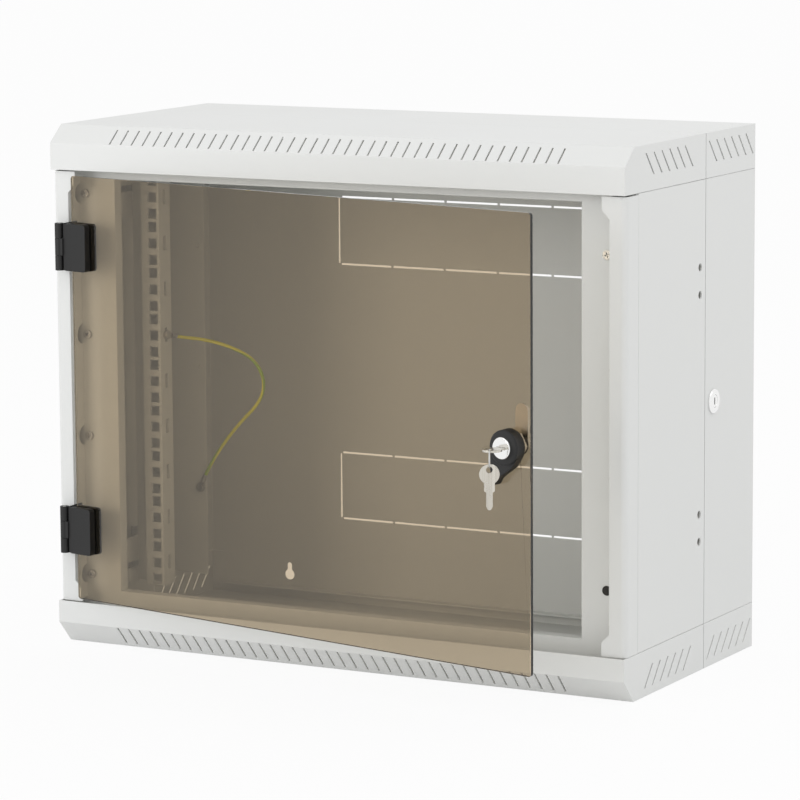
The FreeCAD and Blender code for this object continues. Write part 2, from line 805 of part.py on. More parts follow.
def rear_side(name, side):
    """Side of the rear section: rounded at the wall, flanged round the opening."""
    body = new_body(name)
    x_out, x_wall = side * HALF_W, side * (HALF_W - T)
    x_flange, x_return = side * s.rear_window_half, side * (HALF_W - s.rear_flange)
    section = [
        (x_flange, Y_REAR), (x_out, Y_REAR), (x_out, Y_WALL), (x_return, Y_WALL), (x_return, Y_WALL - T),
        (x_wall, Y_WALL - T), (x_wall, Y_REAR + T), (x_flange, Y_REAR + T),
    ]
    z_high, z_low = Z_TOP_LINE - s.panel_gap, Z_BOTTOM_LINE + s.panel_gap
    pad(body, "XY_Plane", z_low, z_high, lambda sketch: polygon(sketch, section))
    round_edges(body, s.corner_bend, upright_at(x_out, Y_WALL))
    round_edges(body, s.corner_bend - T, upright_at(x_wall, Y_WALL - T))

    x_hole = side * (s.rear_window_half + s.rear_hole_inset)
    for z in (-s.rear_hole_high, as_size(0), s.rear_hole_high):
        pocket(
            body, "XZ_Plane", Y_REAR, Y_REAR + T,
            lambda sketch: circle(sketch, x_hole, z, s.earth_shank),
        )
    if side > 0:
        x_low, x_high = ordered(x_out, x_wall)
        pocket(
            body, "YZ_Plane", x_low, x_high,
            lambda sketch: circle(sketch, Y_REAR + s.side_lock_inset, 0, s.side_lock_barrel),
        )
        x_low, x_high = HALF_W - s.keeper_window_in, HALF_W - s.keeper_window_out
        z_low, z_high = -s.cam_wide / 2 - s.cam_room, s.keeper_high + s.keeper_window_room
        pocket(
            body, "XZ_Plane", Y_REAR, Y_REAR + T,
            lambda sketch: rectangle(sketch, x_low, x_high, z_low, z_high),
        )
    return body


front_hood("hood_top_front", 1, s.top_drop, s.top_chamfer_high)
front_hood("hood_bottom_front", -1, s.bottom_drop, s.bottom_chamfer_high)
rear_hood("hood_top_rear", 1, s.top_drop)
rear_hood("hood_bottom_rear", -1, s.bottom_drop)
column("column_left", -1)
column("column_right", 1)
front_frame()
side_panel("side_panel_left", -1)
side_panel("side_panel_right", 1)
rail("rack_rail_left", -1)
rail("rack_rail_right", 1)
for up, where in ((1, "upper"), (-1, "lower")):
    for side, hand in ((-1, "left"), (1, "right")):
        rail_bracket("rail_bracket_%s_%s" % (where, hand), side, up)
back_panel()
rear_side("rear_side_left", -1)
rear_side("rear_side_right", 1)

# ---------------------------------------------------------------------------------------------
# Turned pieces, groups of screws and placed bodies
# ---------------------------------------------------------------------------------------------
def turned(body, axis, centre, points, cut=False):
    """Revolves an outline about a line along X or Y; points are (along X, radius) or (radius, along Y)."""
    volume = body.Shape.Volume if cut else 0.0
    first, z = centre
    sketch = new_sketch(body, "XY_Plane", z)
    cell = "AttachmentOffset.Base.y" if axis == "X" else "AttachmentOffset.Base.x"
    sketch.setExpression(cell, as_size(first).text)
    polygon(sketch, points)
    kind = "PartDesign::Groove" if cut else "PartDesign::Revolution"
    feature = body.newObject(kind, body.Label + "_turned")
    feature.Profile = sketch
    feature.ReferenceAxis = (sketch, ["H_Axis" if axis == "X" else "V_Axis"])
    feature.Angle = 360
    doc.recompute()
    if cut and not body.Shape.Volume < volume:
        raise RuntimeError(body.Label + ": a groove cuts nothing")
    return feature


def circles(sketch, places, radius):
    """One circle at each place."""
    for x, y in places:
        circle(sketch, x, y, radius)


def hexagons(sketch, places, radius):
    """One hexagon at each place."""
    for x, y in places:
        turns = [math.radians(60 * i) for i in range(6)]
        polygon(sketch, [(x + radius * math.cos(turn), y + radius * math.sin(turn)) for turn in turns])


def pegs(name, role, places, steps, nuts=()):
    """Group of equal pieces; each round step and each nut is (low, high, radius) along the normal."""
    body = new_body(name)
    for low, high, radius in steps:
        pad(body, role, low, high, lambda sketch: circles(sketch, places, radius))
    for low, high, radius in nuts:
        pad(body, role, low, high, lambda sketch: hexagons(sketch, places, radius))
    return body


def swing(body, x, y, degrees):
    """Turns a body about an upright line."""
    centre = Vector(as_size(x).value, as_size(y).value, 0)
    body.Placement = Placement(Vector(0, 0, 0), Rotation(Vector(0, 0, 1), degrees), centre)


# ---------------------------------------------------------------------------------------------
# Hinges between the rear and the front section
# ---------------------------------------------------------------------------------------------
X_SWING = -(HALF_W + s.swing_out)
Y_SWING = Y_REAR - s.seam / 2
THIRD = s.leaf_high / 6
X_LEAF_OUT = -(HALF_W + s.leaf_thick)


def swing_leaf(name, z, toward):
    """Hinge leaf; toward -Y it carries the two end knuckles, toward +Y the middle one."""
    body = new_body(name)
    x_out, x_in = -(HALF_W + s.leaf_thick), -HALF_W
    gap = s.running_gap
    y_near, y_far = Y_SWING + toward * gap, Y_SWING + toward * s.leaf_wide
    y_low, y_high = ordered(y_near, y_far)
    z_low, z_high = z - s.leaf_high / 2, z + s.leaf_high / 2
    pad(body, "XY_Plane", z_low, z_high, lambda sketch: rectangle(sketch, x_out, x_in, y_low, y_high))
    ends = [(z_low, z - THIRD), (z + THIRD, z_high)]
    middle = [(z - THIRD + gap, z + THIRD - gap)]
    mine, other = (middle, ends) if toward > 0 else (ends, middle)
    y_clear = Y_SWING + toward * (s.swing_barrel + gap * 2)
    y_low, y_high = ordered(Y_SWING, y_clear)
    for low, high in other:
        low = low if toward > 0 else z - THIRD
        high = high if toward > 0 else z + THIRD
        pocket(
            body, "XY_Plane", low, high,
            lambda sketch: rectangle(sketch, x_out, x_in, y_low, y_high),
        )
    for low, high in mine:
        pad(body, "XY_Plane", low, high, lambda sketch: circle(sketch, X_SWING, Y_SWING, s.swing_barrel))
    bore = s.swing_pin + (s.fit_gap if toward < 0 else 0)
    pocket(body, "XY_Plane", z_low, z_high, lambda sketch: circle(sketch, X_SWING, Y_SWING, bore))
    if toward < 0:
        step = s.leaf_hole_spacing / 2
        places = [(Y_SEAM - s.leaf_hole_inset, z - step), (Y_SEAM - s.leaf_hole_inset, z + step)]
        pocket(
            body, "YZ_Plane", x_out, x_in,
            lambda sketch: circles(sketch, places, s.rail_screw_shank / 2),
        )
    return body


for up, where in ((1, "upper"), (-1, "lower")):
    z_leaf = up * s.leaf_at
    swing_leaf("swing_leaf_front_" + where, z_leaf, -1)
    swing_leaf("swing_leaf_rear_" + where, z_leaf, 1)
    z_top = z_leaf + s.leaf_high / 2
    pegs(
        "swing_pin_" + where, "XY_Plane", [(X_SWING, Y_SWING)],
        [
            (z_leaf - s.leaf_high / 2, z_top + s.running_gap, s.swing_pin),
            (z_top + s.running_gap, z_top + s.swing_pin_head, s.swing_barrel),
        ],
    )
pegs(
    "swing_leaf_screws", "YZ_Plane", [(Y_SEAM - s.leaf_hole_inset, z) for z in LEAF_HOLE_HEIGHTS],
    [
        (X_LEAF_OUT - s.leaf_bolt_head, X_LEAF_OUT, s.rail_screw_head / 2),
        (X_LEAF_OUT, T + s.leaf_nut_high + s.leaf_bolt_tail - HALF_W, s.rail_screw_shank / 2),
    ],
    nuts=[(T - HALF_W, T + s.leaf_nut_high - HALF_W, s.rail_screw_head / 2)],
)


# ---------------------------------------------------------------------------------------------
# Side lock: a cam lock in the rear section and the keeper on the front section
# ---------------------------------------------------------------------------------------------
Y_SIDE_LOCK = Y_REAR + s.side_lock_inset
SIDE_LOCK = (Y_SIDE_LOCK, as_size(0))
X_SIDE_CAM = HALF_W - s.side_lock_cam_in


def side_lock():
    """Lock barrel, its nut, the turning core with its cam and screw, and the keeper."""
    inner = s.side_lock_core + s.fit_gap
    x_end = HALF_W - s.side_lock_barrel_long
    x_face, edge = HALF_W + s.side_lock_proud, s.side_lock_rim_edge
    body = new_body("side_lock_body")
    turned(body, "X", SIDE_LOCK, [
        (x_end, inner), (x_face, inner), (x_face, s.side_lock_rim - edge),
        (x_face - edge, s.side_lock_rim), (HALF_W, s.side_lock_rim), (HALF_W, s.side_lock_barrel),
        (x_end, s.side_lock_barrel),
    ])

    body = new_body("side_lock_nut")
    x_high = HALF_W - T
    x_low = x_high - s.lock_nut_high
    pad(body, "YZ_Plane", x_low, x_high, lambda sketch: hexagons(sketch, [SIDE_LOCK], s.side_lock_nut))
    pocket(body, "YZ_Plane", x_low, x_high, lambda sketch: circles(sketch, [SIDE_LOCK], s.side_lock_barrel))

    body = new_body("side_lock_core")
    x_cam = X_SIDE_CAM + s.cam_thick
    core = s.side_lock_core
    x_face = HALF_W + s.side_core_proud
    turned(body, "X", SIDE_LOCK, [(x_cam, 0), (x_face, 0), (x_face, core), (x_cam, core)])
    half, half_high = s.side_key_high / 2, s.side_key_wide / 2
    pocket(
        body, "YZ_Plane", HALF_W - s.side_key_deep, x_face,
        lambda sketch: rectangle(sketch, Y_SIDE_LOCK - half, Y_SIDE_LOCK + half, -half_high, half_high),
    )

    body = new_body("side_lock_cam")
    half = s.cam_wide / 2
    y_tip = Y_SIDE_LOCK - s.side_cam_long
    pad(
        body, "YZ_Plane", X_SIDE_CAM, x_cam,
        lambda sketch: rectangle(sketch, y_tip + half, Y_SIDE_LOCK, -half, half),
    )
    for y in (y_tip + half, Y_SIDE_LOCK):
        pad(body, "YZ_Plane", X_SIDE_CAM, x_cam, lambda sketch: circle(sketch, y, 0, half))
    pegs(
        "side_lock_cam_screw", "YZ_Plane", [SIDE_LOCK],
        [(X_SIDE_CAM - s.screw_head_high, X_SIDE_CAM, s.screw_head / 2)],
    )

    body = new_body("side_lock_keeper")
    y_foot = Y_SEAM - T
    y_hook = Y_SIDE_LOCK + half + s.keeper_gap
    x_tongue = HALF_W - s.rear_flange
    section = [
        (x_tongue + s.keeper_foot, y_foot - T), (x_tongue + s.keeper_foot, y_foot), (x_tongue, y_foot),
        (x_tongue, y_hook + T), (x_tongue - s.keeper_hook, y_hook + T), (x_tongue - s.keeper_hook, y_hook),
        (x_tongue - T, y_hook), (x_tongue - T, y_foot - T),
    ]
    pad(body, "XY_Plane", s.keeper_low, s.keeper_high, lambda sketch: polygon(sketch, section))


side_lock()


# ---------------------------------------------------------------------------------------------
# Screws of the front section
# ---------------------------------------------------------------------------------------------
Y_STACK = Y_FRAME + T * 2
pegs(
    "frame_screws", "XZ_Plane", [(side * X_FRAME_SCREW, z) for side in (-1, 1) for z in FRAME_SCREW_HEIGHTS],
    [
        (Y_FRAME - s.screw_head_high, Y_FRAME, s.screw_head / 2),
        (Y_FRAME, Y_STACK + s.rail_sheet + s.screw_tail, s.screw_shank / 2),
    ],
)
for name, z in (("spot_screws", s.spot_high), ("hole_plug", -s.spot_high)):
    pegs(
        name, "XZ_Plane", [(s.spot_right, z)],
        [(Y_FRAME - s.plug_high, Y_FRAME, s.plug_radius), (Y_FRAME, Y_FRAME + T, s.screw_shank / 2)],
    )
X_RAIL_BOLT = s.bracket_inner_half
for side, hand in ((-1, "left"), (1, "right")):
    places = [(Y_RAIL_SCREW, z) for z in (s.bite_high, -s.bite_high)]
    x_in = X_RAIL_BOLT - s.rail_sheet
    x_out = X_RAIL_BOLT + s.rail_sheet
    x_end = x_out + s.rail_nut_high
    steps = [
        (*ordered(side * (x_in - s.rail_screw_head_high), side * x_in), s.rail_screw_head / 2),
        (*ordered(side * x_in, side * x_end), s.rail_screw_shank / 2),
    ]
    nuts = [(*ordered(side * x_out, side * x_end), s.rail_screw_head / 2)]
    pegs("rail_screws_" + hand, "YZ_Plane", places, steps, nuts)


# ---------------------------------------------------------------------------------------------
# Glass door: clamp hinges, glass, lock
# ---------------------------------------------------------------------------------------------
X_DOOR = -s.door_axis_left
Y_DOOR = Y_FRONT - s.door_axis_out
Y_GLASS = Y_FRONT - s.glass_gap
Y_GLASS_BACK = Y_GLASS + s.glass_thick
CLAMP_HALF = s.clamp_high / 2
KNUCKLE_HALF = s.clamp_knuckle_high / 2


def hang(body):
    """Turns a piece of the closed door to the door's resting place."""
    swing(body, X_DOOR, Y_DOOR, -s.door_open.value)


def door_leaf(name, z):
    """Hinge leaf on the column's inner wall, with the two end knuckles."""
    body = new_body(name)
    gap = s.running_gap
    x_wall, x_face = -X_COLUMN, s.door_leaf_thick - X_COLUMN
    y_end = Y_DOOR + s.door_leaf_deep
    z_low, z_high = z - CLAMP_HALF, z + CLAMP_HALF
    pad(body, "XY_Plane", z_low, z_high, lambda sketch: rectangle(sketch, x_wall, x_face, Y_DOOR, y_end))
    knuckle_low, knuckle_high = z - KNUCKLE_HALF - gap, z + KNUCKLE_HALF + gap
    y_clear, y_web = Y_DOOR + s.door_knuckle + gap * 2, Y_DOOR + s.knuckle_web
    pocket(
        body, "XY_Plane", knuckle_low, knuckle_high,
        lambda sketch: rectangle(sketch, x_wall, x_face, Y_DOOR, y_clear),
    )
    for low, high in ((z_low, knuckle_low), (knuckle_high, z_high)):
        pad(body, "XY_Plane", low, high, lambda sketch: rectangle(sketch, X_DOOR, x_face, Y_DOOR, y_web))
        pad(body, "XY_Plane", low, high, lambda sketch: circle(sketch, X_DOOR, Y_DOOR, s.door_knuckle))
    pocket(body, "XY_Plane", z_low, z_high, lambda sketch: circle(sketch, X_DOOR, Y_DOOR, s.door_pin))
    for rivet in (-1, 1):
        pocket(
            body, "YZ_Plane", x_wall, x_face,
            lambda sketch: circle(sketch, Y_RIVET, z + rivet * s.rivet_step, s.rivet_radius),
        )
    return body


def door_clamp(name, z):
    """Moulded block that grips the glass from both faces, with the middle knuckle."""
    body = new_body(name)
    x_left, x_right = -s.clamp_left, -s.clamp_right
    y_out, y_in = Y_FRONT - s.clamp_out, Y_FRONT + s.clamp_in
    web = s.knuckle_web
    section = [
        (x_left, y_out), (x_right, y_out), (x_right, Y_GLASS), (s.glass_left, Y_GLASS),
        (s.glass_left, Y_GLASS_BACK), (x_right, Y_GLASS_BACK), (x_right, y_in), (x_left, y_in),
    ]
    pad(body, "XY_Plane", z - CLAMP_HALF, z + CLAMP_HALF, lambda sketch: polygon(sketch, section))

    def corner_of_front(middle, direction):
        on_end = abs(abs(middle.z - z.value) - CLAMP_HALF.value) < 0.02
        on_side = min(abs(middle.x - x_right.value), abs(middle.x - x_left.value)) < 0.02
        return on_end and on_side and abs(direction.y) > 0.99

    round_edges(body, s.clamp_round, corner_of_front)
    low, high = z - KNUCKLE_HALF, z + KNUCKLE_HALF
    pad(
        body, "XY_Plane", low, high,
        lambda sketch: rectangle(sketch, X_DOOR, x_left, Y_DOOR - web, Y_DOOR + web),
    )
    pad(body, "XY_Plane", low, high, lambda sketch: circle(sketch, X_DOOR, Y_DOOR, s.door_knuckle))
    pocket(body, "XY_Plane", low, high, lambda sketch: circle(sketch, X_DOOR, Y_DOOR, s.door_pin + s.fit_gap))
    places = [(-s.clamp_screw_at, z - s.clamp_screw_step), (-s.clamp_screw_at, z + s.clamp_screw_step)]
    pocket(
        body, "XZ_Plane", Y_GLASS_BACK, y_in,
        lambda sketch: circles(sketch, places, s.screw_shank / 2),
    )
    hang(body)
    return body


def door_glass():
    """Sheet of toughened glass with one hole for the lock."""
    body = new_body("door_glass")
    half = s.glass_half_high
    pad(
        body, "XZ_Plane", Y_GLASS, Y_GLASS_BACK,
        lambda sketch: rectangle(sketch, s.glass_left, s.glass_right, -half, half),
    )
    round_edges(body, s.glass_round, lambda middle, direction: abs(direction.y) > 0.99)
    pocket(body, "XZ_Plane", Y_GLASS, Y_GLASS_BACK, lambda sketch: circles(sketch, [LOCK], s.bush_radius))
    hang(body)


LOCK = (s.lock_right, s.lock_up)
Y_KNOB = Y_GLASS - s.bush_rim_thick - s.running_gap
Y_KNOB_FACE = Y_KNOB - s.knob_deep
Y_CORE_FACE = Y_KNOB_FACE - s.core_proud
Y_CORE_BACK = Y_KNOB_FACE + s.core_deep
Y_CAM = Y_FRONT + CAM_BACK - s.cam_thick
Y_PLUG_END = Y_CAM - s.plug_past_cam


def lock():
    """Bushing and nut in the glass, turning handle with cam, and the key cylinder inside the handle."""
    body = new_body("lock_bushing")
    inner = s.shaft_radius + s.fit_gap
    y_end = Y_GLASS + s.bush_long
    turned(body, "Y", LOCK, [
        (inner, Y_GLASS - s.bush_rim_thick), (s.bush_rim, Y_GLASS - s.bush_rim_thick), (s.bush_rim, Y_GLASS),
        (s.bush_radius, Y_GLASS), (s.bush_radius, y_end), (inner, y_end),
    ])
    hang(body)

    body = new_body("lock_bush_nut")
    y_end = Y_GLASS_BACK + s.lock_nut_high
    pad(body, "XZ_Plane", Y_GLASS_BACK, y_end, lambda sketch: hexagons(sketch, [LOCK], s.side_lock_nut))
    pocket(body, "XZ_Plane", Y_GLASS_BACK, y_end, lambda sketch: circles(sketch, [LOCK], s.bush_radius))
    hang(body)

    body = new_body("lock_handle")
    bore = s.core_radius + s.fit_gap
    plug = s.plug_core + s.fit_gap
    y_seat = Y_CORE_BACK + s.fit_gap
    tip_x, tip_z = s.lock_right - s.tail_aside, s.lock_up - s.tail_reach
    y_tail = Y_KNOB - s.tail_deep
    shoulder = s.knob_radius * 0.6
    tail = [
        (s.lock_right - s.knob_radius, s.lock_up), (tip_x - s.tail_radius, tip_z),
        (tip_x + s.tail_radius * 0.86, tip_z - s.tail_radius * 0.5),
        (tip_x + s.tail_aside * 0.4, tip_z + s.tail_radius),
        (tip_x + s.tail_aside * 0.78, tip_z + s.tail_radius * 2.3),
        (s.lock_right + shoulder * 0.85, s.lock_up - s.knob_radius * 1.05),
        (s.lock_right + shoulder * 1.35, s.lock_up - shoulder),
    ]
    pad(body, "XZ_Plane", y_tail, Y_KNOB, lambda sketch: polygon(sketch, tail))
    pad(body, "XZ_Plane", y_tail, Y_KNOB, lambda sketch: circle(sketch, tip_x, tip_z, s.tail_radius))
    turned(body, "Y", LOCK, [
        (0, Y_KNOB_FACE), (s.knob_face - s.knob_round, Y_KNOB_FACE),
        (s.knob_face, Y_KNOB_FACE + s.knob_round), (s.knob_radius, Y_KNOB),
        (s.shaft_radius, Y_KNOB), (s.shaft_radius, Y_CAM), (0, Y_CAM),
    ])
    turned(body, "Y", LOCK, [
        (0, Y_CORE_FACE), (bore, Y_CORE_FACE), (bore, y_seat), (plug, y_seat),
        (plug, Y_PLUG_END + s.fit_gap), (0, Y_PLUG_END + s.fit_gap),
    ], cut=True)
    hang(body)

    body = new_body("lock_cam")
    half = s.cam_wide / 2
    x, z = LOCK
    z_tip = z + s.cam_long - half
    y_head = Y_CAM + s.cam_thick
    pad(body, "XZ_Plane", Y_CAM, y_head, lambda sketch: rectangle(sketch, x - half, x + half, z, z_tip))
    for z_end in (z, z_tip):
        pad(body, "XZ_Plane", Y_CAM, y_head, lambda sketch: circle(sketch, x, z_end, half))
    hang(body)
    screw = pegs(
        "lock_cam_screw", "XZ_Plane", [LOCK],
        [(y_head, y_head + s.screw_head_high, s.screw_head / 2)],
    )
    hang(screw)

    body = new_body("lock_cylinder")
    turned(body, "Y", LOCK, [
        (0, Y_CORE_FACE), (s.core_radius - s.core_round, Y_CORE_FACE),
        (s.core_radius, Y_CORE_FACE + s.core_round),
        (s.core_radius, Y_CORE_BACK), (s.plug_core, Y_CORE_BACK), (s.plug_core, Y_PLUG_END), (0, Y_PLUG_END),
    ])
    for half_wide, deep in ((s.shoulder_wide / 2, KEY_SHOULDER_IN), (s.blade_wide / 2, KEY_IN)):
        half_wide = half_wide + s.key_play
        half_high = s.key_thick / 2 + s.key_play
        pocket(
            body, "XZ_Plane", Y_CORE_FACE, Y_CORE_FACE + deep + s.key_room,
            lambda sketch: rectangle(sketch, x - half_wide, x + half_wide, z - half_high, z + half_high),
        )
    hang(body)


# ---------------------------------------------------------------------------------------------
# Keys and their ring
# ---------------------------------------------------------------------------------------------
BOW_OUT = s.bow_gap + s.bow_radius
KEY_SHOULDER_IN = s.shoulder_end - BOW_OUT
KEY_IN = s.key_end - BOW_OUT


def key(name):
    """Flat key in its own frame: the bow's centre is the origin and the blade points to +Y."""
    body = new_body(name)
    half = s.key_thick / 2
    shoulder, blade = s.shoulder_wide / 2, s.blade_wide / 2
    pad(body, "XY_Plane", -half, half, lambda sketch: circle(sketch, 0, 0, s.bow_radius))
    chamfer, tip = s.shoulder_chamfer, s.key_tip
    outline = [
        (-shoulder, 0), (shoulder, 0),
        (shoulder, s.shoulder_end - chamfer), (shoulder - chamfer, s.shoulder_end),
        (blade, s.shoulder_end), (blade, s.key_end - blade), (tip, s.key_end), (-tip, s.key_end),
        (-blade, s.key_end - blade), (-blade, s.shoulder_end), (chamfer - shoulder, s.shoulder_end),
        (-shoulder, s.shoulder_end - chamfer),
    ]
    pad(body, "XY_Plane", -half, half, lambda sketch: polygon(sketch, outline))
    pocket(body, "XY_Plane", -half, half, lambda sketch: circle(sketch, 0, -s.key_hole_off, s.key_hole / 2))
    return body


def keys():
    """Key in the cylinder, the ring through its bow, and the spare key on the ring."""
    opened = Placement(
        Vector(0, 0, 0), Rotation(Vector(0, 0, 1), -s.door_open.value), Vector(X_DOOR.value, Y_DOOR.value, 0)
    )
    bow = Vector(s.lock_right.value, (Y_CORE_FACE - BOW_OUT).value, s.lock_up.value)
    inserted = key("door_key")
    inserted.Placement = opened.multiply(Placement(bow, Rotation()))

    heading = math.radians(s.ring_heading.value)
    along = Vector(math.sin(heading), -math.cos(heading), 0)
    across = Vector(math.cos(heading), math.sin(heading), 0)
    hole = inserted.Placement.multVec(Vector(0, -s.key_hole_off.value, 0))
    spread = math.radians(s.ring_heading.value + s.door_open.value)
    off, bow_radius = s.key_hole_off.value, s.bow_radius.value
    rim_end = math.sqrt(bow_radius ** 2 - (off * math.sin(spread)) ** 2) - off * math.cos(spread)
    rim_start = s.key_hole.value / 2
    inner = s.ring_radius.value - s.ring_wire.value
    drop = math.sqrt(inner ** 2 - ((rim_end - rim_start) / 2) ** 2) - s.running_gap.value
    centre = hole + along * ((rim_start + rim_end) / 2) + Vector(0, 0, s.key_thick.value / 2 - drop)

    ring = new_body("key_ring")
    wire, flat = s.ring_wire, s.ring_wire * (math.sqrt(2) - 1)
    corners = [
        (-wire, -flat), (-wire, flat), (-flat, wire), (flat, wire),
        (wire, flat), (wire, -flat), (flat, -wire), (-flat, -wire),
    ]
    turned(ring, "Y", (as_size(0), as_size(0)), [(s.ring_radius + x, as_size(0) + y) for x, y in corners])
    ring.Placement = Placement(centre, Rotation(Vector(0, 1, 0), across))

    spare = key("spare_key")
    turn = Rotation(across * -1, Vector(0, 0, -1), along, "ZXY")
    hang_at = centre - Vector(0, 0, s.ring_radius.value)
    hole_down = s.key_hole.value / 2 - s.ring_wire.value - s.running_gap.value
    spare_hole = hang_at - Vector(0, 0, hole_down)
    spare.Placement = Placement(spare_hole - Vector(0, 0, off), turn)
    print("ring centre", centre, "spare hole", spare_hole)


door_glass()
for up, where in ((1, "upper"), (-1, "lower")):
    z_hinge = up * s.door_hinge_at
    door_leaf("door_leaf_" + where, z_hinge)
    door_clamp("door_clamp_" + where, z_hinge)
    pegs(
        "door_pin_" + where, "XY_Plane", [(X_DOOR, Y_DOOR)],
        [(z_hinge - CLAMP_HALF, z_hinge + CLAMP_HALF, s.door_pin)],
    )
X_RIVET_OUT = -X_COLUMN - T
X_RIVET_IN = s.door_leaf_thick - X_COLUMN
pegs(
    "door_leaf_rivets", "YZ_Plane",
    [(Y_RIVET, up * s.door_hinge_at + side * s.rivet_step) for up in (1, -1) for side in (1, -1)],
    [
        (X_RIVET_OUT - s.rivet_head_high, X_RIVET_OUT, s.rivet_head),
        (X_RIVET_OUT, X_RIVET_IN, s.rivet_radius),
        (X_RIVET_IN, X_RIVET_IN + s.rivet_head_high, s.rivet_head),
    ],
)
clamp_screws = pegs(
    "door_clamp_screws", "XZ_Plane",
    [
        (-s.clamp_screw_at, up * s.door_hinge_at + side * s.clamp_screw_step)
        for up in (1, -1) for side in (1, -1)
    ],
    [(Y_GLASS_BACK, Y_FRONT + s.clamp_in, s.screw_shank / 2)],
)
hang(clamp_screws)
lock()
keys()


# ---------------------------------------------------------------------------------------------
# Earth wire between the front and the rear section
# ---------------------------------------------------------------------------------------------
def terminal(name, placement):
    """Crimped ring terminal in its own frame: the hole is the origin and the barrel points to +Y."""
    body = new_body(name)
    thick = s.terminal_thick
    barrel = s.wire_radius + s.crimp_wall
    y_barrel = s.terminal_long - s.terminal_barrel
    pad(body, "XY_Plane", 0, thick, lambda sketch: circle(sketch, 0, 0, s.terminal_radius))
    pad(
        body, "XY_Plane", 0, thick,
        lambda sketch: rectangle(sketch, -barrel, barrel, s.terminal_neck, y_barrel + barrel),
    )
    pad(
        body, "XZ_Plane", y_barrel, s.terminal_long,
        lambda sketch: circle(sketch, 0, barrel, barrel),
    )
    pocket(body, "XY_Plane", 0, thick, lambda sketch: circle(sketch, 0, 0, s.earth_shank))
    body.Placement = placement
    return placement.multVec(Vector(0, s.terminal_long.value, barrel.value))


def earth_screw(name, placement, through):
    """Pan screw that holds a terminal, in the terminal's frame."""
    body = new_body(name)
    thick = s.terminal_thick
    nut_end = -through - s.earth_nut_high
    pad(body, "XY_Plane", thick, thick + s.earth_head_high, lambda sketch: circle(sketch, 0, 0, s.earth_head))
    pad(body, "XY_Plane", -through, thick, lambda sketch: circle(sketch, 0, 0, s.earth_shank))
    pad(body, "XY_Plane", nut_end, -through, lambda sketch: hexagons(sketch, [(0, 0)], s.earth_nut))
    body.Placement = placement


def tube(name, points, radius):
    """Cord through the points: straight runs joined by arcs as large as the runs allow."""
    edges = []
    radii = []
    start = points[0]
    length = 0.0
    for before, here, after in zip(points, points[1:], points[2:]):
        back, ahead = before - here, after - here
        reach = 0.45 * min(back.Length, ahead.Length)
        half_turn = (math.pi - back.getAngle(ahead)) / 2
        bend = reach / math.tan(half_turn)
        back.normalize()
        ahead.normalize()
        enter, leave = here + back * reach, here + ahead * reach
        middle_way = back + ahead
        middle_way.normalize()
        middle = here + middle_way * (bend / math.cos(half_turn) - bend)
        edges.append(Part.LineSegment(start, enter).toShape())
        edges.append(Part.Arc(enter, middle, leave).toShape())
        length += (enter - start).Length + bend * half_turn * 2
        radii.append(bend)
        start = leave
    edges.append(Part.LineSegment(start, points[-1]).toShape())
    length += (points[-1] - start).Length
    path = Part.Wire(edges)
    profile = Part.Wire([Part.Circle(points[0], points[1] - points[0], radius).toShape()])
    solid = path.makePipeShell([profile], True, False)
    expected = math.pi * radius ** 2 * length
    if abs(solid.Volume - expected) > expected * 0.01:
        raise RuntimeError(name + ": the tube's volume is off")
    feature = doc.addObject("Part::Feature", name)
    feature.Label = name
    feature.Shape = solid
    PARTS.append(feature)
    print("%s: length %.1f, radii %s" % (name, length, ", ".join("%.0f" % value for value in radii)))


def earth_bond():
    """Terminals on the left rail and on the rear flange, and the wire that hangs between them."""
    slope = math.radians(12)
    along = Vector(0, math.cos(slope), -math.sin(slope))
    y_rail = Y_FRONT + s.rail_setback + s.rail_side_deep / 2
    z_rail = s.rack_unit * (RACK_UNITS // 2 + 1 - (RACK_UNITS - 1) / 2)
    front = Placement(
        Vector(-s.rail_inner_half.value, y_rail.value, z_rail.value),
        Rotation(along.cross(Vector(1, 0, 0)), along, Vector(1, 0, 0), "ZXY"),
    )
    lean = math.radians(28)
    rise = Vector(math.sin(lean), 0, math.cos(lean))
    facing = Vector(0, -1, 0)
    rear = Placement(
        Vector(-(s.rear_window_half + s.rear_hole_inset).value, Y_REAR.value, -s.rear_hole_high.value),
        Rotation(rise.cross(facing), rise, facing, "ZXY"),
    )
    begin = terminal("earth_terminal_front", front)
    earth_screw("earth_screw_front", front, s.rail_sheet)
    end = terminal("earth_terminal_rear", rear)
    earth_screw("earth_screw_rear", rear, T)
    route = [
        begin,
        begin + along * 15,
        Vector(-212, -158, 35),
        Vector(-195, -142, 28),
        Vector(-174, -127, 15),
        Vector(-164, -122, -6),
        Vector(-171, -118, -29),
        Vector(-202, -113, -56),
        end + rise * 20,
        end,
    ]
    tube("earth_wire", route, s.wire_radius.value)


earth_bond()

# ---------------------------------------------------------------------------------------------
# Checks and export
# ---------------------------------------------------------------------------------------------
doc.recompute()
for item in doc.Objects:
    if "Invalid" in item.State or "Error" in item.State:
        raise RuntimeError("%s (%s) failed" % (item.Name, item.Label))
for part in PARTS:
    if part.Shape.isNull() or not part.Shape.isValid():
        raise RuntimeError(part.Label + " has no valid shape")

os.makedirs("parts", exist_ok=True)
for part in PARTS:
    part.Shape.exportStep("parts/%s.step" % part.Label)
print("%d nodes, %d solids" % (len(PARTS), sum(len(part.Shape.Solids) for part in PARTS)))
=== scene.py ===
# %% [markdown]
# # A wall mount network cabinet, dressed
#
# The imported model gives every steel, glass and plastic piece in its exact place. This lesson puts
# the finish on it: rounded folds on the sheet metal, a powder coat with a fine orange peel, tinted
# glass, moulded black plastic, plated screws with driver recesses, and a striped earth wire.

import json
import math

import bpy
from mathutils import Matrix, Vector


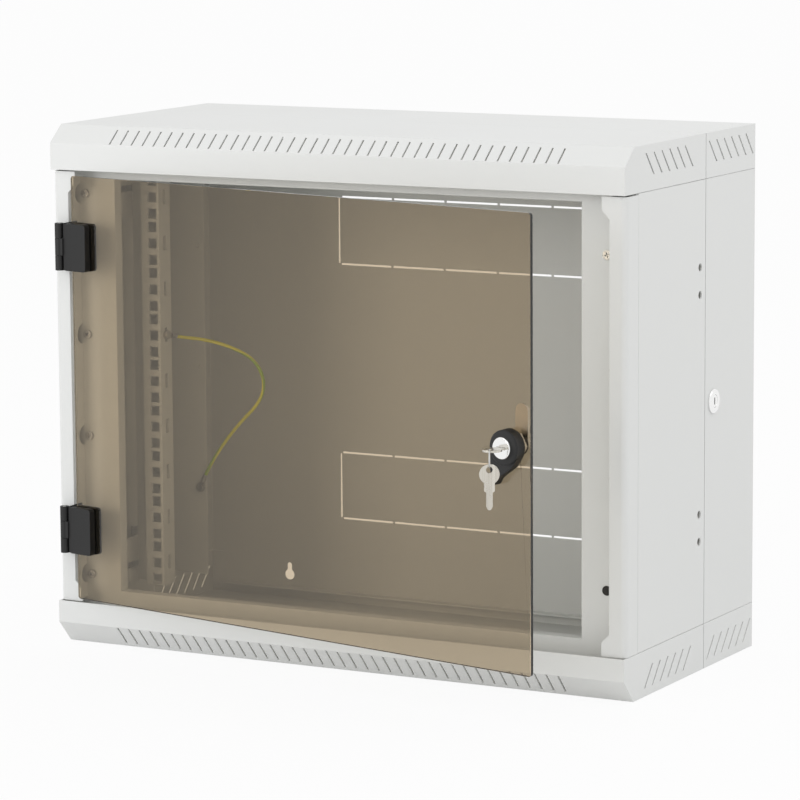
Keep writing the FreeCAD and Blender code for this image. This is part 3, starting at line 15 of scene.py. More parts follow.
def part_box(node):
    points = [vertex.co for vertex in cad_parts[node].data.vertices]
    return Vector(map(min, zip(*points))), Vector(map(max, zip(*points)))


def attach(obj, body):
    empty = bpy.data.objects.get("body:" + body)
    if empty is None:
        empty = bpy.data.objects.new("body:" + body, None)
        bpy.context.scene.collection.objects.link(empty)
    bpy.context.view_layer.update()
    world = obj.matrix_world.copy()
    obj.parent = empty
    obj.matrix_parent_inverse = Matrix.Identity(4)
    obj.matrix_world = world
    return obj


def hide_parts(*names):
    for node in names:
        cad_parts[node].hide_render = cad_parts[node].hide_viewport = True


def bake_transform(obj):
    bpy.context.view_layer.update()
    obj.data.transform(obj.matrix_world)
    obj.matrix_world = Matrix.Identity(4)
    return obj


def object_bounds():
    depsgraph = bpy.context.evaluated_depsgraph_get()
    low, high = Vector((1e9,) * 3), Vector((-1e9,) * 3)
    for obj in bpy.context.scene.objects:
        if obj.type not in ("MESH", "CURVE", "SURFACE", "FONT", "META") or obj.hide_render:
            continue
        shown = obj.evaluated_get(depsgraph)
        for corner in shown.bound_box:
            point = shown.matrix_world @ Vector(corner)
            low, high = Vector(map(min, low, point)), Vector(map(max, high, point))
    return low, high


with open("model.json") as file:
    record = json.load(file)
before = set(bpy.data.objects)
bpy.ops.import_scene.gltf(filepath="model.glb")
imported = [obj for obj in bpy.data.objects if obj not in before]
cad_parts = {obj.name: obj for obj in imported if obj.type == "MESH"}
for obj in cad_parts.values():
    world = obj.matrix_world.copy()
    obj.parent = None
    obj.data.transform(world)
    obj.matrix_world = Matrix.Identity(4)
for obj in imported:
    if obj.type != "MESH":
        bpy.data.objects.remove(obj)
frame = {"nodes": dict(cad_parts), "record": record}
cad_box = [list(corner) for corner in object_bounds()]
scene = bpy.context.scene

# %% [markdown]
# The camera comes first, because a cord is measured against what the camera sees. It stands far
# away with a long lens, so the folds of the hood stay nearly parallel. Its direction is built from
# a heading and a downward pitch, which is easier to reason about than three Euler angles.

# %% Camera
CAMERA_PLACE = (1.7938, -3.4822, 0.5686)
HEADING, PITCH, ROLL = 28.307, 8.722, -0.373
LENS_MM, SENSOR_MM = 181.25, 36
FAR_CLIP = 60


def aim_camera(place, heading, pitch, roll):
    """Adds a camera that looks along a heading from +Y towards -X, tipped down by pitch, in degrees."""
    heading, pitch, roll = (math.radians(angle) for angle in (heading, pitch, roll))
    look = Vector((-math.sin(heading) * math.cos(pitch),
                   math.cos(heading) * math.cos(pitch), -math.sin(pitch)))
    right = Vector((math.cos(heading), math.sin(heading), 0))
    up = right.cross(look)
    turned_right = right * math.cos(roll) + up * math.sin(roll)
    turned_up = up * math.cos(roll) - right * math.sin(roll)
    bpy.ops.object.camera_add()
    camera = bpy.context.active_object
    camera.name = "studio_camera"
    basis = Matrix((turned_right, turned_up, -look)).transposed()
    camera.matrix_world = Matrix.Translation(place) @ basis.to_4x4()
    camera.data.lens = LENS_MM
    camera.data.sensor_width = SENSOR_MM
    camera.data.clip_end = FAR_CLIP
    return camera


scene.camera = aim_camera(CAMERA_PLACE, HEADING, PITCH, ROLL)

# %% [markdown]
# Every step works on a clean selection, because an operator acts on all that is selected. These
# few helpers deselect, pick one object, and put a finished piece's place into its mesh.

# %% Selection helpers
def deselect_all():
    if bpy.context.mode != "OBJECT":
        bpy.ops.object.mode_set(mode="OBJECT")
    bpy.ops.object.select_all(action="DESELECT")


def pick(piece):
    deselect_all()
    piece.select_set(True)
    bpy.context.view_layer.objects.active = piece


def settle(piece):
    """Moves the object's place, turn and scale into its mesh."""
    pick(piece)
    bpy.ops.object.transform_apply(location=True, rotation=True, scale=True)


def select_faces(piece, wanted):
    """Edit mode with only the faces selected for which wanted(face) is true."""
    pick(piece)
    bpy.ops.object.mode_set(mode="EDIT")
    bpy.ops.mesh.select_mode(type="FACE")
    bpy.ops.mesh.select_all(action="DESELECT")
    bpy.ops.object.mode_set(mode="OBJECT")
    for face in piece.data.polygons:
        face.select = wanted(face)
    bpy.ops.object.mode_set(mode="EDIT")


deselect_all()

# %% [markdown]
# ## Shared effects
#
# Powder coat, moulded plastic and plated steel all have a fine surface grain and a slow, cloudy
# change in tone. That is one node group, built once, with its scales as inputs, so that each
# finish only says how coarse its grain is.

# %% Node group: grain and clouds
def new_group(name, inputs, outputs):
    group = bpy.data.node_groups.new(name, "ShaderNodeTree")
    for label, kind, value in inputs:
        socket = group.interface.new_socket(label, in_out="INPUT", socket_type=kind)
        if value is not None:
            socket.default_value = value
    for label, kind in outputs:
        group.interface.new_socket(label, in_out="OUTPUT", socket_type=kind)
    entry = group.nodes.new("NodeGroupInput")
    leave = group.nodes.new("NodeGroupOutput")
    return group, entry, leave


FLOAT, VECTOR = "NodeSocketFloat", "NodeSocketVector"


def grain_and_clouds():
    group, entry, leave = new_group(
        "grain and clouds",
        [("Vector", VECTOR, None), ("Grain scale", FLOAT, 900.0), ("Cloud scale", FLOAT, 9.0),
         ("Fleck amount", FLOAT, 0.25)],
        [("Height", FLOAT), ("Clouds", FLOAT)],
    )
    nodes, links = group.nodes, group.links
    fine = nodes.new("ShaderNodeTexNoise")
    fine.inputs["Detail"].default_value = 2.0
    cloud = nodes.new("ShaderNodeTexNoise")
    cloud.inputs["Detail"].default_value = 4.0
    cloud.inputs["Roughness"].default_value = 0.55
    cells = nodes.new("ShaderNodeTexVoronoi")
    soften = nodes.new("ShaderNodeMath")
    soften.operation = "MULTIPLY"
    raised = nodes.new("ShaderNodeMath")
    raised.operation = "ADD"
    for texture, scale in ((fine, "Grain scale"), (cells, "Grain scale"), (cloud, "Cloud scale")):
        links.new(entry.outputs["Vector"], texture.inputs["Vector"])
        links.new(entry.outputs[scale], texture.inputs["Scale"])
    links.new(cells.outputs["Distance"], soften.inputs[0])
    links.new(entry.outputs["Fleck amount"], soften.inputs[1])
    links.new(soften.outputs[0], raised.inputs[0])
    links.new(fine.outputs["Fac"], raised.inputs[1])
    links.new(raised.outputs[0], leave.inputs["Height"])
    links.new(cloud.outputs["Fac"], leave.inputs["Clouds"])
    return group


GRAIN = grain_and_clouds()

# %% [markdown]
# Machined, drawn and polished metal has fine lines that run one way. A noise stretched along one
# axis gives them. The group takes the vector already turned, so each metal chooses its direction.

# %% Node group: drawn lines
def drawn_lines():
    group, entry, leave = new_group(
        "drawn lines",
        [("Vector", VECTOR, None), ("Scale", FLOAT, 500.0), ("Stretch", FLOAT, 40.0)],
        [("Height", FLOAT), ("Tone", FLOAT)],
    )
    nodes, links = group.nodes, group.links
    parts = nodes.new("ShaderNodeSeparateXYZ")
    shorten = nodes.new("ShaderNodeMath")
    shorten.operation = "DIVIDE"
    joined = nodes.new("ShaderNodeCombineXYZ")
    noise = nodes.new("ShaderNodeTexNoise")
    noise.inputs["Detail"].default_value = 3.0
    ramp = nodes.new("ShaderNodeMapRange")
    ramp.inputs["From Min"].default_value = 0.35
    ramp.inputs["From Max"].default_value = 0.65
    links.new(entry.outputs["Vector"], parts.inputs[0])
    links.new(parts.outputs["X"], joined.inputs["X"])
    links.new(parts.outputs["Y"], joined.inputs["Y"])
    links.new(parts.outputs["Z"], shorten.inputs[0])
    links.new(entry.outputs["Stretch"], shorten.inputs[1])
    links.new(shorten.outputs[0], joined.inputs["Z"])
    links.new(joined.outputs[0], noise.inputs["Vector"])
    links.new(entry.outputs["Scale"], noise.inputs["Scale"])
    links.new(noise.outputs["Fac"], leave.inputs["Height"])
    links.new(noise.outputs["Fac"], ramp.inputs["Value"])
    links.new(ramp.outputs["Result"], leave.inputs["Tone"])
    return group


LINES = drawn_lines()

# %% [markdown]
# A finish is one Principled BSDF. Its colour leans a little from a base tone to a second tone with
# the clouds, its roughness moves between two values, and a Bump node raises the grain. The grain
# is real size: metres in Object coordinates times the scale gives grains per metre.

# %% Finishes built on the shared groups
def mixed_colour(nodes, links, mask, first, second):
    mix = nodes.new("ShaderNodeMix")
    mix.data_type = "RGBA"
    mix.inputs["A"].default_value = (*first, 1)
    mix.inputs["B"].default_value = (*second, 1)
    links.new(mask, mix.inputs["Factor"])
    return mix.outputs["Result"]


def ranged(nodes, links, mask, low, high):
    change = nodes.new("ShaderNodeMapRange")
    change.inputs["From Min"].default_value = 0.3
    change.inputs["From Max"].default_value = 0.7
    change.inputs["To Min"].default_value = low
    change.inputs["To Max"].default_value = high
    links.new(mask, change.inputs["Value"])
    return change.outputs["Result"]


def finish(name, tones, rough, grain, relief, metallic=0.0, lines=None, strength=0.35, shine=0.5):
    """Material with a cloudy tone, a roughness range and a raised grain, or drawn lines.

    grain is grain scale, cloud scale and fleck amount; relief is the grain's height in metres.
    """
    material = bpy.data.materials.new(name)
    material.use_nodes = True
    nodes, links = material.node_tree.nodes, material.node_tree.links
    shader = nodes["Principled BSDF"]
    place = nodes.new("ShaderNodeTexCoord").outputs["Object"]
    group = nodes.new("ShaderNodeGroup")
    group.node_tree = GRAIN
    links.new(place, group.inputs["Vector"])
    for label, value in zip(("Grain scale", "Cloud scale", "Fleck amount"), grain):
        group.inputs[label].default_value = value
    height, mask = group.outputs["Height"], group.outputs["Clouds"]
    if lines:
        drawn = nodes.new("ShaderNodeGroup")
        drawn.node_tree = LINES
        turn = nodes.new("ShaderNodeMapping")
        turn.inputs["Rotation"].default_value = lines
        links.new(place, turn.inputs["Vector"])
        links.new(turn.outputs["Vector"], drawn.inputs["Vector"])
        height, mask = drawn.outputs["Height"], drawn.outputs["Tone"]
    links.new(mixed_colour(nodes, links, mask, *tones), shader.inputs["Base Color"])
    links.new(ranged(nodes, links, group.outputs["Clouds"], *rough), shader.inputs["Roughness"])
    shader.inputs["Metallic"].default_value = metallic
    shader.inputs["Specular IOR Level"].default_value = shine
    bump = nodes.new("ShaderNodeBump")
    bump.inputs["Strength"].default_value = strength
    bump.inputs["Distance"].default_value = relief
    links.new(height, bump.inputs["Height"])
    links.new(bump.outputs["Normal"], shader.inputs["Normal"])
    return material


grey_paint = finish("light grey powder coat", ((0.735, 0.745, 0.735), (0.765, 0.77, 0.757)),
                    (0.36, 0.46), grain=(1400.0, 6.0, 0.2), relief=0.00003)
black_plastic = finish("black grained plastic", ((0.006, 0.006, 0.006), (0.011, 0.011, 0.011)),
                       (0.4, 0.52), grain=(2600.0, 30.0, 0.6), relief=0.00003, strength=0.5, shine=0.4)
chrome = finish("polished chrome", ((0.86, 0.86, 0.85), (0.9, 0.9, 0.9)), (0.06, 0.14), metallic=1.0,
                grain=(600.0, 60.0, 0.0), relief=0.00001, strength=0.1)
zinc = finish("zinc plating", ((0.54, 0.55, 0.55), (0.63, 0.63, 0.62)), (0.4, 0.55), metallic=1.0,
              grain=(1800.0, 180.0, 0.8), relief=0.00002)
nickel = finish("brushed nickel", ((0.56, 0.53, 0.47), (0.68, 0.65, 0.58)), (0.2, 0.32), metallic=1.0,
                grain=(1500.0, 90.0, 0.2), relief=0.000012, lines=(0.0, 0.0, 0.5))

# %% [markdown]
# The door is 4 mm bronze-tinted safety glass. Real light passes through it and lights what is
# behind, but a path tracer treats solid glass as opaque to lamps. A Light Path node lets shadow
# and diffuse rays pass as a plain tint, and every other ray meets the true glass.

# %% Bronze glass
GLASS_TONES = (0.6, 0.49, 0.35), (0.62, 0.51, 0.365)
GLASS_ROUGH = 0.0, 0.004
LIGHT_TINT = (0.8, 0.79, 0.76, 1)


def bronze_glass_material():
    material = bpy.data.materials.new("bronze glass")
    material.use_nodes = True
    nodes, links = material.node_tree.nodes, material.node_tree.links
    shader = nodes["Principled BSDF"]
    shader.inputs["Transmission Weight"].default_value = 1.0
    shader.inputs["IOR"].default_value = 1.5
    place = nodes.new("ShaderNodeTexCoord").outputs["Object"]
    group = nodes.new("ShaderNodeGroup")
    group.node_tree = GRAIN
    group.inputs["Grain scale"].default_value = 40.0
    group.inputs["Cloud scale"].default_value = 3.0
    links.new(place, group.inputs["Vector"])
    tint = mixed_colour(nodes, links, group.outputs["Clouds"], *GLASS_TONES)
    links.new(tint, shader.inputs["Base Color"])
    links.new(ranged(nodes, links, group.outputs["Clouds"], *GLASS_ROUGH), shader.inputs["Roughness"])
    clear = nodes.new("ShaderNodeBsdfTransparent")
    clear.inputs["Color"].default_value = LIGHT_TINT
    paths = nodes.new("ShaderNodeLightPath")
    lighting = nodes.new("ShaderNodeMath")
    lighting.operation = "MAXIMUM"
    links.new(paths.outputs["Is Shadow Ray"], lighting.inputs[0])
    links.new(paths.outputs["Is Diffuse Ray"], lighting.inputs[1])
    mix = nodes.new("ShaderNodeMixShader")
    links.new(lighting.outputs[0], mix.inputs["Fac"])
    links.new(shader.outputs["BSDF"], mix.inputs[1])
    links.new(clear.outputs["BSDF"], mix.inputs[2])
    links.new(mix.outputs["Shader"], nodes["Material Output"].inputs["Surface"])
    return material


bronze_glass = bronze_glass_material()
FINISHES = {
    "grey_paint": grey_paint,
    "bronze_glass": bronze_glass,
    "black_plastic": black_plastic,
    "chrome": chrome,
    "zinc": zinc,
    "nickel_key": nickel,
}

# %% [markdown]
# ## The earth wire
#
# A green and yellow wire bonds the swinging front section to the rear one. It hangs in a loose bow
# so that the section can open. Its line is one smooth spline through given points, and a
# round sheath is swept along it with its own UV map, because the stripes have to follow the wire.

# %% Route of the wire
WIRE_RADIUS, WIRE_LENGTH = 0.0017, 0.237
FRONT_STUB, REAR_STUB = 0.015, 0.020
SLOPE, LEAN = math.radians(12), math.radians(28)
front_along = Vector((0, math.cos(SLOPE), -math.sin(SLOPE)))
rear_rise = Vector((math.sin(LEAN), 0, math.cos(LEAN)))
wire_begin = Vector((-0.2229, -0.190578, 0.041331))
wire_end = Vector((-0.235958, -0.1171, -0.106774))
WIRE_ROUTE = [
    wire_begin,
    wire_begin + front_along * FRONT_STUB,
    Vector((-0.212, -0.158, 0.035)),
    Vector((-0.195, -0.142, 0.028)),
    Vector((-0.174, -0.127, 0.015)),
    Vector((-0.164, -0.122, -0.006)),
    Vector((-0.171, -0.118, -0.029)),
    Vector((-0.202, -0.113, -0.056)),
    wire_end + rear_rise * REAR_STUB,
    wire_end,
]


def spline_points(name, route, resolution=14):
    """Points along a NURBS spline of order 3 through the route's ends."""
    curve = bpy.data.curves.new(name, "CURVE")
    curve.dimensions = "3D"
    spline = curve.splines.new("NURBS")
    spline.points.add(len(route) - 1)
    for point, place in zip(spline.points, route):
        point.co = (*place, 1)
    spline.order_u = 3
    spline.use_endpoint_u = True
    spline.resolution_u = resolution
    guide = bpy.data.objects.new(name, curve)
    scene.collection.objects.link(guide)
    bpy.context.view_layer.update()
    mesh = bpy.data.meshes.new_from_object(guide)
    points = [vertex.co.copy() for vertex in mesh.vertices]
    bpy.data.objects.remove(guide)
    bpy.data.meshes.remove(mesh)
    return points


wire_line = spline_points("wire_route", WIRE_ROUTE)
wire_length = sum((b - a).length for a, b in zip(wire_line, wire_line[1:]))
print("wire: %d points, %.4f m" % (len(wire_line), wire_length))

# %% Sheath with its own UV map
def swept_tube(name, line, radius, sides=16):
    """Round tube along a line, with V along it in metres and U around it from 0 to 1."""
    side = Vector((0, 0, 1))
    rings, lengths, run = [], [], 0.0
    for number, here in enumerate(line):
        before, after = line[max(number - 1, 0)], line[min(number + 1, len(line) - 1)]
        run += (here - before).length if number else 0.0
        tangent = (after - before).normalized()
        side = (side - tangent * side.dot(tangent)).normalized()
        other = tangent.cross(side)
        turns = [math.tau * step / sides for step in range(sides)]
        rings.append([here + (side * math.cos(t) + other * math.sin(t)) * radius for t in turns])
        lengths.append(run)
    points = [point for ring in rings for point in ring]
    faces, corners = [], []
    for number in range(len(line) - 1):
        for step in range(sides):
            after = (step + 1) % sides
            low, high = number * sides, (number + 1) * sides
            faces.append((low + step, low + after, high + after, high + step))
            u, v = step / sides, (step + 1) / sides
            a, b = lengths[number], lengths[number + 1]
            corners.extend(((u, a), (v, a), (v, b), (u, b)))
    faces.append(tuple(reversed(range(sides))))
    faces.append(tuple(range((len(line) - 1) * sides, len(line) * sides)))
    corners.extend([(0.5, 0.0)] * (2 * sides))
    mesh = bpy.data.meshes.new(name)
    mesh.from_pydata(points, [], faces)
    layer = mesh.uv_layers.new(name="UVMap")
    for loop, corner in zip(layer.data, corners):
        loop.uv = corner
    tube = bpy.data.objects.new(name, mesh)
    scene.collection.objects.link(tube)
    pick(tube)
    bpy.ops.object.shade_smooth_by_angle(angle=math.radians(50))
    return tube


GREEN, YELLOW = (0.42, 0.62, 0.03), (0.98, 0.92, 0.04)
TURNS_PER_METRE = 7.0
STRIPE_FROM, STRIPE_TO = 0.15, 0.17
SHEATH_ROUGH = 0.32, 0.44


def wire_material():
    """Yellow sheath with a green stripe that winds slowly round it."""
    material = bpy.data.materials.new("striped wire sheath")
    material.use_nodes = True
    nodes, links = material.node_tree.nodes, material.node_tree.links
    shader = nodes["Principled BSDF"]
    parts = nodes.new("ShaderNodeSeparateXYZ")
    links.new(nodes.new("ShaderNodeUVMap").outputs["UV"], parts.inputs[0])
    wind = nodes.new("ShaderNodeMath")
    wind.operation = "MULTIPLY_ADD"
    wind.inputs[1].default_value = TURNS_PER_METRE
    links.new(parts.outputs["Y"], wind.inputs[0])
    links.new(parts.outputs["X"], wind.inputs[2])
    wave = nodes.new("ShaderNodeMath")
    wave.operation = "PINGPONG"
    wave.inputs[1].default_value = 0.5
    links.new(wind.outputs[0], wave.inputs[0])
    edge = nodes.new("ShaderNodeMapRange")
    edge.inputs["From Min"].default_value = STRIPE_FROM
    edge.inputs["From Max"].default_value = STRIPE_TO
    links.new(wave.outputs[0], edge.inputs["Value"])
    colour = mixed_colour(nodes, links, edge.outputs["Result"], GREEN, YELLOW)
    links.new(colour, shader.inputs["Base Color"])
    group = nodes.new("ShaderNodeGroup")
    group.node_tree = GRAIN
    links.new(nodes.new("ShaderNodeTexCoord").outputs["Object"], group.inputs["Vector"])
    links.new(ranged(nodes, links, group.outputs["Clouds"], *SHEATH_ROUGH), shader.inputs["Roughness"])
    bump = nodes.new("ShaderNodeBump")
    bump.inputs["Strength"].default_value = 0.2
    bump.inputs["Distance"].default_value = 0.00003
    links.new(group.outputs["Height"], bump.inputs["Height"])
    links.new(bump.outputs["Normal"], shader.inputs["Normal"])
    return material


wire = swept_tube("earth_wire_sheath", wire_line, WIRE_RADIUS)
wire.data.materials.append(wire_material())
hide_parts("earth_wire")
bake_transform(wire)

# %% [markdown]
# ## Rounded edges
#
# Bent sheet and moulded plastic never have knife edges, and it is the small round on each edge
# that catches the light. The frame's meshes are loose triangles, so each piece is copied and its
# points are merged. A solid piece then gets its flat triangles dissolved into whole faces and a
# bevel on every sharp edge. A sheet with many slots would tear under that, so only its long folds
# are bevelled. Weighted normals keep the flats flat and let the narrow rounds shade smoothly.

# %% Copies of frame pieces with rounded edges
SHARP, SAME_PLANE = math.radians(32), math.radians(0.4)
SAME_POINT = 0.000004
LONG_FOLD = 0.02


def merged_copy(node):
    source = frame["nodes"][node]
    piece = bpy.data.objects.new(node + "_finished", source.data.copy())
    scene.collection.objects.link(piece)
    pick(piece)
    bpy.ops.object.mode_set(mode="EDIT")
    bpy.ops.mesh.select_mode(type="VERT")
    bpy.ops.mesh.select_all(action="SELECT")
    bpy.ops.mesh.remove_doubles(threshold=SAME_POINT)
    bpy.ops.mesh.customdata_custom_splitnormals_clear()
    bpy.ops.object.mode_set(mode="OBJECT")
    return piece


def select_edges(piece, wanted):
    """Edit mode with only the sharp edges selected for which wanted(edge) is true."""
    pick(piece)
    bpy.ops.object.mode_set(mode="EDIT")
    bpy.ops.mesh.select_mode(type="EDGE")
    bpy.ops.mesh.select_all(action="DESELECT")
    bpy.ops.mesh.edges_select_sharp(sharpness=SHARP)
    bpy.ops.object.mode_set(mode="OBJECT")
    mesh = piece.data
    chosen = [edge.select and wanted(edge) for edge in mesh.edges]
    mesh.polygons.foreach_set("select", [False] * len(mesh.polygons))
    mesh.vertices.foreach_set("select", [False] * len(mesh.vertices))
    mesh.edges.foreach_set("select", chosen)
    bpy.ops.object.mode_set(mode="EDIT")


def length_of(mesh, edge):
    first, second = (mesh.vertices[number].co for number in edge.vertices)
    return (first - second).length


def shade_by_area(piece):
    """Flat faces stay flat and the narrow rounds between them shade smoothly."""
    pick(piece)
    bpy.ops.object.shade_smooth_by_angle(angle=SHARP)
    weighted = piece.modifiers.new("weighted normals", "WEIGHTED_NORMAL")
    weighted.mode = "FACE_AREA"
    weighted.weight = 100
    weighted.keep_sharp = True
    bpy.ops.object.modifier_apply(modifier=weighted.name)


def folded_copy(node, width):
    """Copy of a sheet with its long folds and rims rounded."""
    piece = merged_copy(node)
    select_edges(piece, lambda edge: length_of(piece.data, edge) > LONG_FOLD)
    bpy.ops.mesh.bevel(offset=width, offset_type="OFFSET", segments=2, clamp_overlap=False)
    bpy.ops.object.mode_set(mode="OBJECT")
    shade_by_area(piece)
    return piece


def rounded_copy(node, width, segments=2):
    """Copy of a solid piece with every sharp edge rounded."""
    piece = merged_copy(node)
    bpy.ops.object.mode_set(mode="EDIT")
    bpy.ops.mesh.select_all(action="SELECT")
    bpy.ops.mesh.dissolve_limited(angle_limit=SAME_PLANE)
    bpy.ops.object.mode_set(mode="OBJECT")
    bevel = piece.modifiers.new("rounded edges", "BEVEL")
    bevel.width = width
    bevel.segments = segments
    bevel.limit_method = "ANGLE"
    bevel.angle_limit = SHARP
    bevel.miter_outer = "MITER_ARC"
    bpy.ops.object.modifier_apply(modifier=bevel.name)
    shade_by_area(piece)
    return piece


def dress(node, piece):
    """Puts a finished piece in its node's place, in that node's finish."""
    slot = SLOTS[node]
    piece.data.materials.clear()
    piece.data.materials.append(FINISHES[slot])
    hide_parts(node)
    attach(piece, BODY_OF[node])
    return piece


BODIES = frame["record"]["behaviour"]["bodies"]
BODY_OF = {node: body for body, nodes in BODIES.items() for node in nodes}
SLOTS = {entry["node"]: entry["material_slot"] for entry in frame["record"]["subparts"]}
SHEETS = {
    0.00035: ("back_panel", "rear_side_left", "rear_side_right", "hood_top_rear", "hood_bottom_rear",
              "hood_top_front", "hood_bottom_front", "column_left", "column_right", "front_frame",
              "side_panel_left", "side_panel_right", "rail_bracket_upper_left",
              "rail_bracket_upper_right", "rail_bracket_lower_left", "rail_bracket_lower_right"),
    0.0003: ("rack_rail_left", "rack_rail_right"),
}
SOLIDS = {
    0.0003: ("swing_leaf_rear_upper", "swing_leaf_rear_lower", "swing_leaf_front_upper",
             "swing_leaf_front_lower", "side_lock_keeper"),
    0.0006: ("door_clamp_upper", "door_clamp_lower", "lock_handle"),
    0.0002: ("door_leaf_upper", "door_leaf_lower", "lock_bushing", "lock_bush_nut", "lock_cylinder",
             "door_key", "spare_key", "lock_cam", "side_lock_body", "side_lock_core", "side_lock_cam",
             "side_lock_nut", "earth_terminal_front", "earth_terminal_rear"),
}
dressed = {}


def dress_all(groups, make_copy):
    """Dresses each node of {edge width: nodes} with the copy that make_copy(node, width) gives."""
    for width, nodes in groups.items():
        for node in nodes:
            dressed[node] = dress(node, make_copy(node, width))


dress_all(SHEETS, folded_copy)
dress_all(SOLIDS, rounded_copy)

# %% [markdown]
# The glass has polished flats and a ground edge. Its chamfer is flat-shaded, because a smoothed
# normal on clear glass would bend everything seen through it.

# %% Glass plate
GLASS_CHAMFER = 0.0006
plate = rounded_copy("door_glass", GLASS_CHAMFER, segments=1)
pick(plate)
bpy.ops.mesh.customdata_custom_splitnormals_clear()
bpy.ops.object.shade_flat()
dressed["door_glass"] = dress("door_glass", plate)
for node, piece in dressed.items():
    print("%-26s %6d faces" % (node, len(piece.data.polygons)))

# %% [markdown]
# ## Screws
#
# A plain disc does not read as a screw. Each group of screws is one node, so its copy is rounded
# like the rest, and a cross recess is cut into every head. The recess is one plus-shaped block,
# made from a cube by extruding its four sides, and copied to the place of each head. The places
# come from the node itself: each screw is a loose island, and its head is its end face.

# %% Cross recess
CROSS_ARM, CROSS_WIDE, CROSS_DEEP = 0.56, 0.2, 0.4
FIRST_TURN, NEXT_TURN = 20, 37
SCREW_ROUND, RIM_DEPTH = 0.0004, 0.00001


def cross_block():
    """Plus-shaped block for a head of radius 1, centred on the origin, with arms along X and Y."""
    deselect_all()
    bpy.ops.mesh.primitive_cube_add(size=1)
    block = bpy.context.active_object
    block.name = "cross_recess"
    block.scale = (CROSS_WIDE, CROSS_WIDE, CROSS_DEEP * 2)
    settle(block)
    select_faces(block, lambda face: abs(face.normal.z) < 0.5)
    bpy.ops.mesh.extrude_faces_move(TRANSFORM_OT_shrink_fatten={"value": CROSS_ARM - CROSS_WIDE / 2})
    bpy.ops.mesh.select_all(action="SELECT")
    bpy.ops.mesh.normals_make_consistent(inside=False)
    bpy.ops.object.mode_set(mode="OBJECT")
    return block


def islands_of(mesh):
    """Point numbers of each loose part of a mesh."""
    owner = list(range(len(mesh.vertices)))

    def root(number):
        while owner[number] != number:
            owner[number] = owner[owner[number]]
            number = owner[number]
        return number

    for edge in mesh.edges:
        first, second = (root(number) for number in edge.vertices)
        owner[first] = second
    groups = {}
    for number in range(len(owner)):
        groups.setdefault(root(number), []).append(number)
    return list(groups.values())


def merged_mesh(node):
    """The points and faces of a node with doubled points merged, for measuring."""
    piece = merged_copy(node)
    mesh = piece.data
    bpy.data.objects.remove(piece)
    return mesh


def end_faces(mesh, direction):
    """Centre and radius of each loose part's end face in a direction."""
    ends = []
    for group in islands_of(mesh):
        points = [mesh.vertices[number].co for number in group]
        highest = max(point.dot(direction) for point in points)
        rim = [point for point in points if point.dot(direction) > highest - RIM_DEPTH]
        centre = sum(rim, Vector()) / len(rim)
        ends.append((centre, max((point - centre).length for point in rim)))
    return ends


RECESS = cross_block()


def recess_copy(centre, radius, turn):
    """The recess block with its own mesh, sized and turned for one head."""
    block = bpy.data.objects.new("recess", RECESS.data.copy())
    scene.collection.objects.link(block)
    block.matrix_world = Matrix.Translation(centre) @ turn @ Matrix.Scale(radius, 4)
    settle(block)
    return block


def screw_copy(node, direction):
    """Rounded copy of a group of screws with a cross recess in each head."""
    direction = Vector(direction)
    ends = end_faces(merged_mesh(node), direction)
    piece = rounded_copy(node, SCREW_ROUND)
    turn = direction.to_track_quat("Z", "Y").to_matrix().to_4x4()
    cutters = []
    for number, (centre, radius) in enumerate(ends):
        angle = Matrix.Rotation(math.radians(NEXT_TURN * number + FIRST_TURN), 4, "Z")
        cutters.append(recess_copy(centre, radius, turn @ angle))
    deselect_all()
    for block in cutters:
        block.select_set(True)
    bpy.context.view_layer.objects.active = cutters[0]
    if len(cutters) > 1:
        bpy.ops.object.join()
    cut_away(piece, cutters[0])
    return piece


def cut_away(piece, cutter):
    """Takes the cutter's volume out of a piece and removes the cutter."""
    pick(piece)
    cut = piece.modifiers.new("cut", "BOOLEAN")
    cut.operation = "DIFFERENCE"
    cut.solver = "EXACT"
    cut.object = cutter
    bpy.ops.object.modifier_apply(modifier=cut.name)
    bpy.data.objects.remove(cutter)
    shade_by_area(piece)


SCREWS = {
    "frame_screws": (0, -1, 0),
    "spot_screws": (0, -1, 0),
    "rail_screws_left": (1, 0, 0),
    "rail_screws_right": (-1, 0, 0),
    "swing_leaf_screws": (-1, 0, 0),
    "door_clamp_screws": (0, 1, 0),
    "lock_cam_screw": (0, 1, 0),
    "side_lock_cam_screw": (-1, 0, 0),
}
for node, direction in SCREWS.items():
    dressed[node] = dress(node, screw_copy(node, direction))
bpy.data.objects.remove(RECESS)
ROUNDED_SMALL = {
    0.0005: ("door_leaf_rivets", "hole_plug"),
    0.0003: ("swing_pin_upper", "swing_pin_lower", "door_pin_upper", "door_pin_lower",
             "earth_screw_front", "earth_screw_rear"),
}
dress_all(ROUNDED_SMALL, rounded_copy)

# %% [markdown]
# A cabinet key is stamped, then milled with one groove down each side of its blade. The spare key
# hangs plumb with its flats towards the front, so the axes of the ring's and the key's joints give
# the groove's directions.

# %% Groove of the spare key
GROOVE_WIDE, GROOVE_DEEP, GROOVE_LONG, GROOVE_FOOT = 0.0013, 0.0005, 0.019, 0.0015
KEY_HALF_THICK = 0.001


def joint_axis(name):
    joint = [item for item in frame["record"]["behaviour"]["joints"] if item["name"] == name][0]
    return Vector(joint["axis"]).normalized()


